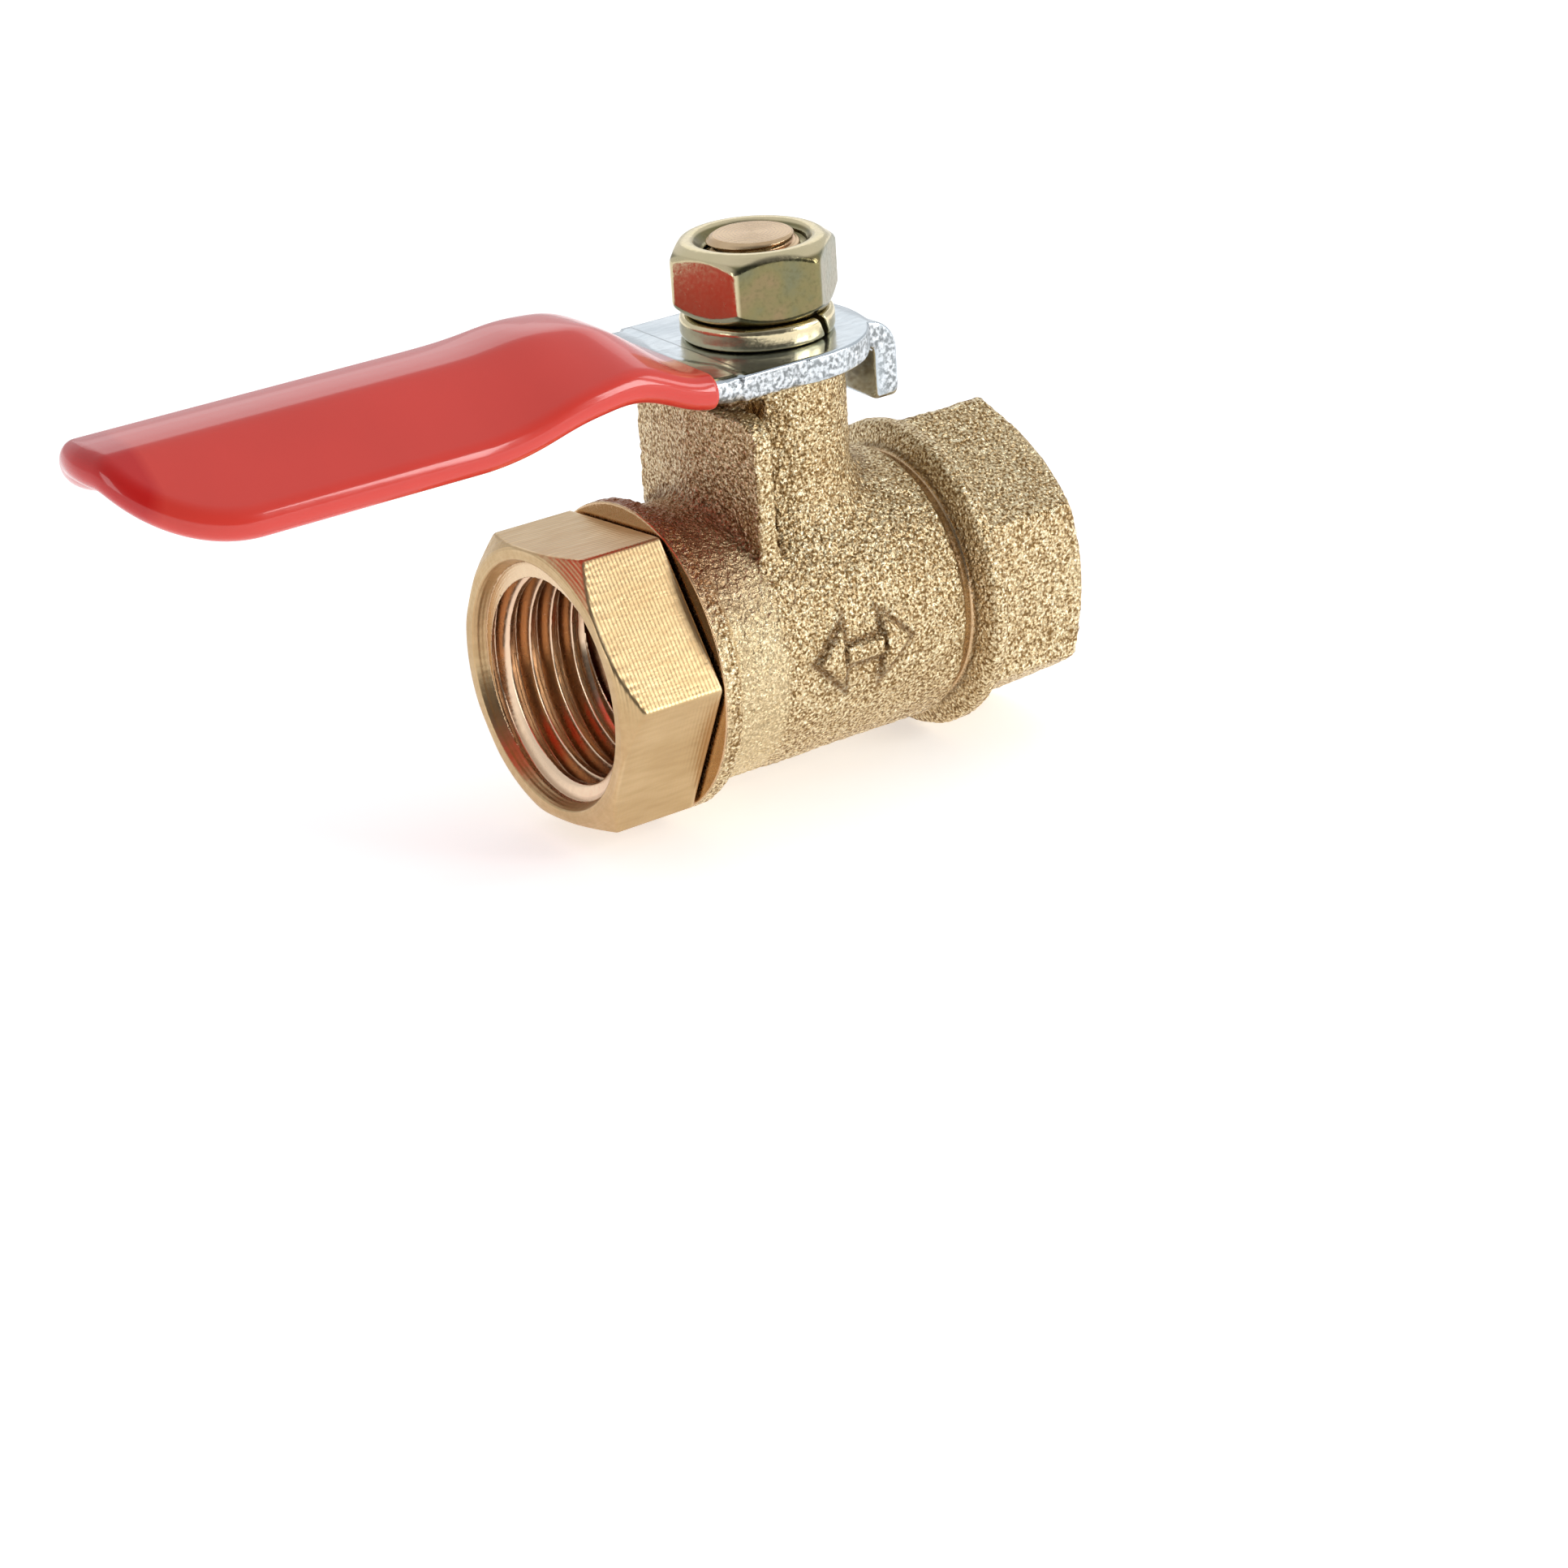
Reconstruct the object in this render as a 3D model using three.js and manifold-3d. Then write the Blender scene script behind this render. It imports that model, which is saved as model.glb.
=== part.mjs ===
// A quarter-inch mini ball valve: a forged brass body with a screwed-in hexagon end cap, a floating ball between
// two seat rings, and a stem turned by a flat steel lever with a dipped vinyl grip.
//
// Millimetres. X runs along the pipe from the end cap to the outlet, and Z up the stem. The origin is the ball's
// centre, where the two lines cross. The lever lies along the pipe, so the valve is open.
import * as THREE from "three";
import { mergeVertices } from "three/addons/utils/BufferGeometryUtils.js";
import Module from "manifold-3d";

const wasm = await Module();
wasm.setup();

// ---------------------------------------------------------------- driving dimensions

const FACETS = 36; // sides of a round surface
const GAP = 0.1; // between two brass faces that meet in the real valve
const EPS = 0.5; // how far a cutter runs past the face it opens

// The quarter-inch pipe thread in both ends, as plain rings of the thread's own profile.
const thread = { minor: 5.72, major: 6.58, pitch: 1.337, turns: 5, leadIn: 0.45, mouth: 6.7 };

const ball = { radius: 5.4, bore: 3.2, slotWidth: 2.0, slotFloor: 3.9 };
const passage = 3.3; // radius of the way through the body, the cap and the seats
const chamber = 5.75; // radius of the ball's room

const seat = { back: 5.45, outer: 4.9, inner: 3.3, ballGap: 0.1 };
const seatPocket = { radius: 5.0, floor: 5.5 };

const cap = { face: -15.14, hexBack: -9.46, acrossFlats: 15.0, turn: -5, chamfer: 36, faceRadius: 7.5 };
const spigot = { radius: 6.95, end: -5.0, noseRadius: 5.65, noseEnd: -3.75 };

const body = { lip: -9.3, outlet: 15.28, radius: 7.75, lipRadius: 8.55, beadRadius: 8.65, grooveRadius: 7.45 };
const outletHex = { start: 9.2, acrossFlats: 15.33, faceRadius: 7.6, chamfer: 30 };
const arrow = { half: 3.0, head: 1.7, shaft: 0.5, proud: 0.35, root: 0.6, middle: 0.2 };
const spigotBore = { radius: spigot.radius + GAP, end: -4.9 };

const tower = { radius: 4.5, top: 14.3, bore: 3.0 };
const shoulderPocket = { radius: 3.65, ceiling: 7.0 };
const stopWall = { outletFace: -3.25, inletFace: -4.5, ridge: -5.1, halfWidth: 5.6, top: 13.2, corner: 1.6 };

const stem = { radius: 2.95, shoulder: 3.5, shoulderZ: [5.65, 6.45], land: 14.5, end: 21.4 };
const stemThread = { radius: 2.5, start: 16.0, chamfer: 0.35 };
const stemFlats = { half: 2.5, top: 16.0 };
const tang = { thickness: 1.7, halfWidth: 2.35, bottom: 4.05 };
const ringGroove = { radius: 2.2, halfWidth: 0.5, lowerZ: 8.6, upperZ: 11.2 };
const stemRing = { middle: 2.6, section: 0.37 };
const washerDisc = { inner: 3.0, outer: 3.5, bottom: 6.5, top: 6.95 };

const sheet = 1.45; // thickness of the lever's steel
const hub = { top: 16.0, radius: 5.9, neckHalf: 5.8, holeFlat: 2.55, holeRadius: 3.05 };
const tab = { innerFace: 5.3, bottom: 11.5, halfWidth: 3.2, bend: 0.4, footCut: 0.5 };
const handle = { start: -6.7, noseStart: -33.2, noseLength: 5.9, halfWidth: 5.15, riseStart: -4.8, steelTip: -37.2 };
const channel = { flat: 1.5, slope: 0.736, crown: 19.18, runOut: 14, rise: 8.4, hump: 0.3, vinyl: 0.27 };

const nut = { bottom: 17.34, top: 21.25, acrossFlats: 8.05, turn: 162.8, chamferRadius: 3.75, chamfer: 0.62 };
const nutHole = { radius: 2.56, countersink: 3.2, depth: 0.65 };
const springWasher = { inner: 2.7, outer: 4.12, bottom: 16.03, top: 17.3, splitAngle: -65, splitWidth: 0.45 };

// ---------------------------------------------------------------- making and joining solids

// The closed mesh as a solid for joining and cutting.
function solid(geometry) {
  const bare = geometry.clone();
  bare.deleteAttribute("normal");
  bare.deleteAttribute("uv");
  const merged = mergeVertices(bare, 1e-4);
  return new wasm.Manifold(
    new wasm.Mesh({
      numProp: 3,
      vertProperties: new Float32Array(merged.attributes.position.array),
      triVerts: new Uint32Array(merged.index.array),
    }),
  );
}

// A solid back as a geometry with flat faces.
function geometryOf(manifold) {
  const mesh = manifold.getMesh();
  const geometry = new THREE.BufferGeometry();
  geometry.setAttribute("position", new THREE.BufferAttribute(mesh.vertProperties, 3));
  geometry.setIndex(new THREE.BufferAttribute(mesh.triVerts, 1));
  const flat = geometry.toNonIndexed();
  flat.computeVertexNormals();
  return flat;
}

// A turned piece from its outline of [place along the axis, radius] points, about "x" or "z". An outline that
// leaves the axis gets closed on itself.
function turned(axis, outline, facets = FACETS) {
  const points = outline.map(([along, radius]) => new THREE.Vector2(radius, along));
  const first = points[0];
  const last = points[points.length - 1];
  if (first.x > 0 || last.x > 0) points.push(first.clone());
  const geometry = new THREE.LatheGeometry(points, facets);
  if (axis === "x") geometry.rotateZ(-Math.PI / 2);
  else geometry.rotateX(Math.PI / 2);
  return solid(geometry);
}

// A plain cylinder about the X or Z line through the origin.
function bar(axis, radius, from, to) {
  return turned(axis, [[from, 0], [from, radius], [to, radius], [to, 0]]);
}

// A flat outline in the XY plane, made into a plate from z = bottom to z = top.
function plate(shape, bottom, top, curveSegments = 12) {
  const geometry = new THREE.ExtrudeGeometry(shape, {
    depth: top - bottom,
    bevelEnabled: false,
    curveSegments,
  });
  geometry.translate(0, 0, bottom);
  return solid(geometry);
}

// A box from its lowest and highest corners.
function block([x0, y0, z0], [x1, y1, z1]) {
  const geometry = new THREE.BoxGeometry(x1 - x0, y1 - y0, z1 - z0);
  geometry.translate((x0 + x1) / 2, (y0 + y1) / 2, (z0 + z1) / 2);
  return solid(geometry);
}

// A shape with six corners, the first of them at the given angle.
function hexagon(acrossFlats, firstCorner) {
  const corner = acrossFlats / Math.sqrt(3);
  const shape = new THREE.Shape();
  for (let i = 0; i < 6; i += 1) {
    const angle = firstCorner + (i * Math.PI) / 3;
    const x = corner * Math.cos(angle);
    const y = corner * Math.sin(angle);
    if (i === 0) shape.moveTo(x, y);
    else shape.lineTo(x, y);
  }
  shape.closePath();
  return shape;
}

// A hexagon bar along X. A first corner at 0 points along Y, and one at a quarter turn points up.
function hexAlongX(acrossFlats, firstCorner, from, to) {
  const geometry = new THREE.ExtrudeGeometry(hexagon(acrossFlats, firstCorner), {
    depth: to - from,
    bevelEnabled: false,
  });
  geometry.translate(0, 0, from);
  geometry.rotateX(Math.PI / 2);
  geometry.rotateZ(Math.PI / 2);
  return solid(geometry);
}

// A closed skin over rings of points, with both ends capped from their middles.
function loft(rings) {
  const count = rings[0].length;
  const points = rings.flat();
  const faces = [];
  for (let i = 0; i + 1 < rings.length; i += 1) {
    for (let j = 0; j < count; j += 1) {
      const a = i * count + j;
      const b = i * count + ((j + 1) % count);
      faces.push(a, b, b + count, a, b + count, a + count);
    }
  }
  [0, rings.length - 1].forEach((i) => {
    const middle = new THREE.Vector3();
    rings[i].forEach((point) => middle.add(point));
    points.push(middle.divideScalar(count));
    for (let j = 0; j < count; j += 1) {
      const a = i * count + j;
      const b = i * count + ((j + 1) % count);
      if (i === 0) faces.push(points.length - 1, b, a);
      else faces.push(points.length - 1, a, b);
    }
  });
  const geometry = new THREE.BufferGeometry().setFromPoints(points);
  geometry.setIndex(faces);
  const made = solid(geometry);
  if (made.volume() > 0) return made;
  geometry.setIndex(faces.reverse());
  return solid(geometry);
}

// ---------------------------------------------------------------- threaded ports

// The outline of a threaded port: [distance in from the mouth, radius] points, from the mouth inwards.
function portOutline() {
  const outline = [[-EPS, thread.mouth], [0, thread.mouth]];
  const crest = 0.2 * thread.pitch;
  const flank = 0.3 * thread.pitch;
  for (let turn = 0; turn < thread.turns; turn += 1) {
    const at = thread.leadIn + turn * thread.pitch;
    outline.push([at, thread.minor + (turn === 0 ? thread.leadIn : 0)]);
    if (turn > 0) outline.push([at + crest, thread.minor]);
    outline.push([at + crest + flank, thread.major]);
    outline.push([at + 2 * crest + flank, thread.major]);
  }
  const end = thread.leadIn + thread.turns * thread.pitch;
  outline.push([end, thread.minor]);
  const drillPoint = (thread.minor - passage) / Math.tan((59 * Math.PI) / 180);
  outline.push([end + drillPoint, passage]);
  return outline;
}

// What the inlet's way through takes out of the end cap.
function capBore() {
  const outline = portOutline().map(([depth, radius]) => [cap.face + depth, radius]);
  return turned("x", [
    [cap.face - EPS, 0],
    ...outline,
    [-seatPocket.floor, passage],
    [-seatPocket.floor, seatPocket.radius],
    [spigot.noseEnd + EPS, seatPocket.radius],
    [spigot.noseEnd + EPS, 0],
  ]);
}

// What the outlet's way through and the ball's room take out of the body.
function bodyBore() {
  const outline = portOutline().map(([depth, radius]) => [body.outlet - depth, radius]);
  return turned("x", [
    [body.lip - EPS, 0],
    [body.lip - EPS, spigotBore.radius],
    [spigotBore.end, spigotBore.radius],
    [spigotBore.end, chamber],
    [2.7, chamber],
    [2.7, seatPocket.radius],
    [seatPocket.floor, seatPocket.radius],
    [seatPocket.floor, passage],
    ...outline.reverse(),
    [body.outlet + EPS, 0],
  ]);
}

// ---------------------------------------------------------------- body and end cap

// The fin across the inlet side of the tower, which the lever's tab meets after a quarter turn either way.
function stopWallSolid() {
  const plan = new THREE.Shape();
  plan.moveTo(stopWall.outletFace, -stopWall.halfWidth);
  plan.lineTo(stopWall.outletFace, stopWall.halfWidth);
  plan.lineTo(stopWall.inletFace, stopWall.halfWidth);
  plan.lineTo(stopWall.ridge, 0);
  plan.lineTo(stopWall.inletFace, -stopWall.halfWidth);
  plan.closePath();

  const front = new THREE.Shape();
  const { halfWidth, corner, top } = stopWall;
  front.moveTo(-halfWidth, 0);
  front.lineTo(halfWidth, 0);
  front.lineTo(halfWidth, top - corner);
  front.absarc(halfWidth - corner, top - corner, corner, 0, Math.PI / 2);
  front.lineTo(corner - halfWidth, top);
  front.absarc(corner - halfWidth, top - corner, corner, Math.PI / 2, Math.PI);
  front.closePath();
  const elevation = new THREE.ExtrudeGeometry(front, { depth: 8, bevelEnabled: false, curveSegments: 6 });
  elevation.rotateX(Math.PI / 2);
  elevation.rotateZ(Math.PI / 2);
  elevation.translate(-8, 0, 0);
  return plate(plan, 3, top + EPS).intersect(solid(elevation));
}

// The body's turned outside: the front lip, the barrel, the groove behind it and the collar bead.
function barrel() {
  const { lip, lipRadius, radius, grooveRadius, beadRadius } = body;
  return turned("x", [
    [lip, 0],
    [lip, lipRadius - 0.25],
    [lip + 0.25, lipRadius],
    [lip + 1.1, lipRadius],
    [lip + 1.35, lipRadius - 0.35],
    [lip + 1.6, radius],
    [7.2, radius],
    [7.45, grooveRadius],
    [8.2, grooveRadius],
    [8.4, beadRadius - 0.35],
    [8.7, beadRadius],
    [9.25, beadRadius],
    [9.55, beadRadius - 0.3],
    [9.9, radius],
    [9.9, 0],
  ]);
}

// The outlet's hexagon, corner up, with a chamfer round its face.
function outletHexSolid() {
  const { start, acrossFlats, faceRadius, chamfer } = outletHex;
  const corner = acrossFlats / Math.sqrt(3);
  const slant = (corner + EPS - faceRadius) * Math.tan((chamfer * Math.PI) / 180);
  const trimmed = turned("x", [
    [start, 0],
    [start, corner + EPS],
    [body.outlet - slant, corner + EPS],
    [body.outlet, faceRadius],
    [body.outlet, 0],
  ]);
  return hexAlongX(acrossFlats, Math.PI / 2, start, body.outlet).intersect(trimmed);
}

// A two-way flow arrow standing proud of the barrel's near side.
function flowArrow() {
  const { half, head, shaft, proud, root } = arrow;
  const shape = new THREE.Shape();
  shape.moveTo(-half, 0);
  shape.lineTo(-half + head, -head);
  shape.lineTo(-half + head, -shaft);
  shape.lineTo(half - head, -shaft);
  shape.lineTo(half - head, -head);
  shape.lineTo(half, 0);
  shape.lineTo(half - head, head);
  shape.lineTo(half - head, shaft);
  shape.lineTo(-half + head, shaft);
  shape.lineTo(-half + head, head);
  shape.closePath();
  const geometry = new THREE.ExtrudeGeometry(shape, { depth: body.radius + EPS, bevelEnabled: false });
  geometry.rotateX(Math.PI / 2);
  geometry.translate(arrow.middle, 0, 0);
  const skin = bar("x", body.radius + proud, -4, 4).subtract(bar("x", body.radius - root, -5, 5));
  return solid(geometry).intersect(skin);
}

function valveBody() {
  const shoulderRoom = bar("z", shoulderPocket.radius, 0, shoulderPocket.ceiling);
  const stemBore = bar("z", tower.bore, 0, tower.top + EPS);
  return barrel()
    .add(outletHexSolid())
    .add(bar("z", tower.radius, 0, tower.top))
    .add(stopWallSolid())
    .add(flowArrow())
    .subtract(bodyBore())
    .subtract(shoulderRoom)
    .subtract(stemBore);
}

// The cap's hexagon is chamfered round its face, and its threaded spigot screws into the body.
function endCap() {
  const { face, hexBack, acrossFlats, faceRadius } = cap;
  const corner = acrossFlats / Math.sqrt(3);
  const firstCorner = Math.PI + (cap.turn * Math.PI) / 180;
  const slant = (corner + EPS - faceRadius) * Math.tan((cap.chamfer * Math.PI) / 180);
  const envelope = turned("x", [
    [face, 0],
    [face, faceRadius],
    [face + slant, corner + EPS],
    [hexBack, corner + EPS],
    [hexBack, 0],
  ]);
  const screwed = turned("x", [
    [hexBack - 1, 0],
    [hexBack - 1, spigot.radius],
    [spigot.end, spigot.radius],
    [spigot.end, spigot.noseRadius],
    [spigot.noseEnd, spigot.noseRadius],
    [spigot.noseEnd, 0],
  ]);
  return hexAlongX(acrossFlats, firstCorner, face, hexBack).intersect(envelope).add(screwed).subtract(capBore());
}

// ---------------------------------------------------------------- ball and seats

// A ball bored along the pipe, with a slot across its top for the stem's tang.
function ballSolid() {
  const half = ball.slotWidth / 2;
  const reach = ball.radius + EPS;
  const sphere = solid(new THREE.SphereGeometry(ball.radius, FACETS, FACETS / 2));
  return sphere
    .subtract(bar("x", ball.bore, -reach, reach))
    .subtract(block([-half, -reach, ball.slotFloor], [half, reach, reach]));
}

// A seat ring whose inner face is hollowed to the ball. side is -1 for the inlet and 1 for the outlet.
function seatRing(side) {
  const hollow = ball.radius + seat.ballGap;
  const outline = [[side * seat.back, seat.inner], [side * seat.back, seat.outer]];
  const steps = 5;
  const from = Math.asin(seat.outer / hollow);
  const to = Math.asin(seat.inner / hollow);
  for (let i = 0; i <= steps; i += 1) {
    const angle = from + ((to - from) * i) / steps;
    outline.push([side * hollow * Math.cos(angle), hollow * Math.sin(angle)]);
  }
  return turned("x", side > 0 ? outline.reverse() : outline);
}

// ---------------------------------------------------------------- stem and its seals

function stemSolid() {
  const { radius, shoulder, shoulderZ, land, end } = stem;
  const grooves = [ringGroove.lowerZ, ringGroove.upperZ].flatMap((z) => [
    [z - ringGroove.halfWidth, radius],
    [z - ringGroove.halfWidth, ringGroove.radius],
    [z + ringGroove.halfWidth, ringGroove.radius],
    [z + ringGroove.halfWidth, radius],
  ]);
  const shaft = turned("z", [
    [tang.bottom, 0],
    [tang.bottom, shoulder],
    [shoulderZ[1], shoulder],
    [shoulderZ[1], washerDisc.inner - 0.1],
    [washerDisc.top, washerDisc.inner - 0.1],
    [washerDisc.top, radius],
    ...grooves,
    [stemThread.start, radius],
    [stemThread.start, stemThread.radius],
    [end - stemThread.chamfer, stemThread.radius],
    [end, stemThread.radius - stemThread.chamfer],
    [end, 0],
  ]);
  const past = radius + EPS;
  const halfTang = tang.thickness / 2;
  const top = shoulderZ[0];
  let made = shaft;
  [-1, 1].forEach((side) => {
    const flat = [side * stemFlats.half, side * past].sort((a, b) => a - b);
    made = made.subtract(block([-past, flat[0], land], [past, flat[1], stemFlats.top]));
    const besideTang = [side * halfTang, side * (shoulder + EPS)].sort((a, b) => a - b);
    made = made.subtract(block([besideTang[0], -past - EPS, 0], [besideTang[1], past + EPS, top]));
    const pastTang = [side * tang.halfWidth, side * (shoulder + EPS)].sort((a, b) => a - b);
    made = made.subtract(block([-past - EPS, pastTang[0], 0], [past + EPS, pastTang[1], top]));
  });
  return made;
}

function stemORing(z) {
  const outline = [];
  const steps = 8;
  for (let i = 0; i < steps; i += 1) {
    const angle = (i * 2 * Math.PI) / steps;
    outline.push([z + stemRing.section * Math.sin(angle), stemRing.middle + stemRing.section * Math.cos(angle)]);
  }
  return turned("z", outline);
}

function thrustWasher() {
  const { inner, outer, bottom, top } = washerDisc;
  return turned("z", [[bottom, inner], [bottom, outer], [top, outer], [top, inner]]);
}

// ---------------------------------------------------------------- lever and grip

// The height of the middle of the sheet on the handle's centre line: up from the hub over a soft hump, then level.
function crownHeight(x) {
  const flat = hub.top - sheet / 2;
  const level = channel.crown - sheet / 2;
  const rise = THREE.MathUtils.smootherstep(handle.riseStart - x, 0, channel.rise);
  const hump = channel.hump * Math.exp(-(((x + 14.8) / 2.6) ** 2));
  return flat + (level - flat) * rise + hump;
}

// How far the sheet's middle has dropped at y: flat on top, then sloping to both sides, deeper away from the hub.
function flangeDrop(x, y) {
  const along = THREE.MathUtils.clamp((handle.start - x) / channel.runOut, 0, 1);
  const depth = 1 - (1 - along) ** 1.6;
  const past = Math.abs(y) - channel.flat;
  return (channel.slope * depth * (Math.hypot(past, 0.5) + past)) / 2;
}

// Half the handle's width at x, with its elliptical nose grown by grow all round.
function handleHalfWidth(x, grow) {
  const inNose = THREE.MathUtils.clamp((handle.noseStart - x) / (handle.noseLength + grow), 0, 1);
  return (handle.halfWidth + grow) * Math.sqrt(1 - inNose ** 2);
}

// The bent sheet's cross-section at x as a ring of points: the middle line thickened to both sides by thick, with
// rounded edges.
function handleRing(x, thick) {
  const half = handleHalfWidth(x, 0);
  const lip = handleHalfWidth(x, thick) - half;
  const pastTip = Math.max(0, handle.noseStart - handle.noseLength - x);
  const rise = Math.sqrt(Math.max(0, thick ** 2 - pastTip ** 2));
  const crown = crownHeight(x);
  const place = (y, angle) => {
    const step = 0.01;
    const fall = (flangeDrop(x, y + step) - flangeDrop(x, y - step)) / (2 * step);
    const lean = Math.atan(fall);
    const [out, up] = [lip * Math.cos(angle), rise * Math.sin(angle)];
    return new THREE.Vector3(
      x,
      y + out * Math.cos(lean) + up * Math.sin(lean),
      crown - flangeDrop(x, y) - out * Math.sin(lean) + up * Math.cos(lean),
    );
  };
  const ring = [];
  const samples = 9;
  const lipSteps = 4;
  for (let i = 1; i < samples; i += 1) ring.push(place(half * Math.cos((i * Math.PI) / samples), Math.PI / 2));
  for (let i = 0; i <= lipSteps; i += 1) ring.push(place(-half, Math.PI / 2 + (i * Math.PI) / lipSteps));
  for (let i = samples - 1; i > 0; i -= 1) ring.push(place(half * Math.cos((i * Math.PI) / samples), -Math.PI / 2));
  for (let i = 0; i <= lipSteps; i += 1) ring.push(place(half, -Math.PI / 2 + (i * Math.PI) / lipSteps));
  return ring;
}

// The handle from the hub to its tip, thickened from the middle of the sheet by thick.
function handleSolid(from, thick) {
  const tip = handle.noseStart - handle.noseLength - 0.998 * thick;
  const rings = [];
  const count = 24;
  for (let i = 0; i <= count; i += 1) {
    const along = Math.sin((i * Math.PI) / (2 * count));
    rings.push(handleRing(from + (tip - from) * along, thick));
  }
  return loft(rings);
}

// The part of the handle that the steel reaches: its end is cut off square inside the vinyl's nose.
function handleCore(thick, tip) {
  const reach = block([tip, -10, 0], [0, 10, 30]);
  return handleSolid(handle.riseStart, thick).intersect(reach);
}

// The stop tab: the sheet bent down past the hub, with its lower corners cut off.
function stopTab() {
  const bottom = hub.top - sheet;
  const bendAt = tab.innerFace - tab.bend;
  const bendZ = bottom - tab.bend;
  const profile = new THREE.Shape();
  profile.moveTo(bendAt - EPS, bottom);
  profile.lineTo(bendAt, bottom);
  profile.absarc(bendAt, bendZ, tab.bend, Math.PI / 2, 0, true);
  profile.lineTo(tab.innerFace, tab.bottom);
  profile.lineTo(tab.innerFace + sheet, tab.bottom);
  profile.absarc(bendAt, bendZ, tab.bend + sheet, 0, Math.PI / 2);
  profile.lineTo(bendAt - EPS, hub.top);
  profile.closePath();
  const bent = new THREE.ExtrudeGeometry(profile, {
    depth: 2 * tab.halfWidth,
    bevelEnabled: false,
    curveSegments: 6,
  });
  bent.rotateX(Math.PI / 2);
  bent.translate(0, tab.halfWidth, 0);

  const foot = new THREE.Shape();
  foot.moveTo(-tab.halfWidth - EPS, hub.top + EPS);
  foot.lineTo(-tab.halfWidth - EPS, tab.bottom + tab.footCut);
  foot.lineTo(-tab.halfWidth, tab.bottom + tab.footCut);
  foot.lineTo(tab.footCut - tab.halfWidth, tab.bottom);
  foot.lineTo(tab.halfWidth - tab.footCut, tab.bottom);
  foot.lineTo(tab.halfWidth, tab.bottom + tab.footCut);
  foot.lineTo(tab.halfWidth + EPS, tab.bottom + tab.footCut);
  foot.lineTo(tab.halfWidth + EPS, hub.top + EPS);
  foot.closePath();
  const trim = new THREE.ExtrudeGeometry(foot, { depth: 10, bevelEnabled: false });
  trim.rotateX(Math.PI / 2);
  trim.rotateZ(Math.PI / 2);
  return solid(bent).intersect(solid(trim));
}

function leverPlate() {
  const bottom = hub.top - sheet;
  const outline = new THREE.Shape();
  const meet = Math.asin(tab.halfWidth / hub.radius);
  outline.moveTo(hub.radius * Math.cos(meet), -tab.halfWidth);
  outline.absarc(0, 0, hub.radius, meet, Math.PI / 2);
  outline.lineTo(handle.riseStart - 0.2, hub.neckHalf);
  outline.lineTo(handle.riseStart - 0.2, -hub.neckHalf);
  outline.absarc(0, 0, hub.radius, -Math.PI / 2, -meet);
  outline.closePath();
  const hole = bar("z", hub.holeRadius, bottom - EPS, hub.top + EPS).intersect(
    block([-hub.radius, -hub.holeFlat, 0], [hub.radius, hub.holeFlat, hub.top + EPS]),
  );
  return plate(outline, bottom, hub.top).add(stopTab()).add(handleCore(sheet / 2, handle.steelTip)).subtract(hole);
}

// The dipped vinyl: a skin over the handle with a hair of room for the steel inside it.
function handleGrip() {
  const slack = 0.08;
  const skin = handleSolid(handle.start, sheet / 2 + channel.vinyl);
  return skin.subtract(handleCore(sheet / 2 + slack, handle.steelTip - slack));
}

// ---------------------------------------------------------------- nut and washer

function leverNut() {
  const { bottom, top, acrossFlats, turn, chamferRadius, chamfer } = nut;
  const corner = acrossFlats / Math.sqrt(3);
  const reach = ((corner + EPS - chamferRadius) * chamfer) / (corner - chamferRadius);
  const envelope = turned("z", [
    [bottom, 0],
    [bottom, chamferRadius],
    [bottom + reach, corner + EPS],
    [top - reach, corner + EPS],
    [top, chamferRadius],
    [top, 0],
  ]);
  const hole = turned("z", [
    [bottom - EPS, 0],
    [bottom - EPS, nutHole.radius],
    [top - nutHole.depth, nutHole.radius],
    [top, nutHole.countersink],
    [top + EPS, nutHole.countersink],
    [top + EPS, 0],
  ]);
  const bar6 = plate(hexagon(acrossFlats, (turn * Math.PI) / 180), bottom, top);
  return bar6.intersect(envelope).subtract(hole);
}

// A split spring washer: the cut leans, as it does on a coil cut across.
function lockWasher() {
  const { inner, outer, bottom, top, splitAngle, splitWidth } = springWasher;
  const ring = turned("z", [[bottom, inner], [bottom, outer], [top, outer], [top, inner]]);
  const cutter = new THREE.BoxGeometry(outer, splitWidth, 3 * (top - bottom));
  cutter.rotateX(Math.PI / 7);
  cutter.translate(inner + outer / 2 - 0.4, 0, (bottom + top) / 2);
  cutter.rotateZ((splitAngle * Math.PI) / 180);
  return ring.subtract(solid(cutter));
}

// ---------------------------------------------------------------- the assembly

const finishes = {
  forgedBrass: { color: 0xc9a45a, roughness: 0.45, metalness: 1 },
  machinedBrass: { color: 0xc69a5b, roughness: 0.3, metalness: 1 },
  polishedBrass: { color: 0xd8b46a, roughness: 0.12, metalness: 1 },
  ptfe: { color: 0xf1efe8, roughness: 0.6, metalness: 0 },
  rubber: { color: 0x1c1c1e, roughness: 0.7, metalness: 0 },
  zincSteel: { color: 0xb9bfc4, roughness: 0.28, metalness: 1 },
  yellowZinc: { color: 0xa9985a, roughness: 0.3, metalness: 1 },
  redVinyl: { color: 0xc8352e, roughness: 0.22, metalness: 0 },
};

const valve = new THREE.Group();

function addPiece(name, made, finish) {
  const mesh = new THREE.Mesh(geometryOf(made), new THREE.MeshStandardMaterial(finishes[finish]));
  mesh.name = name;
  valve.add(mesh);
}

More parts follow.
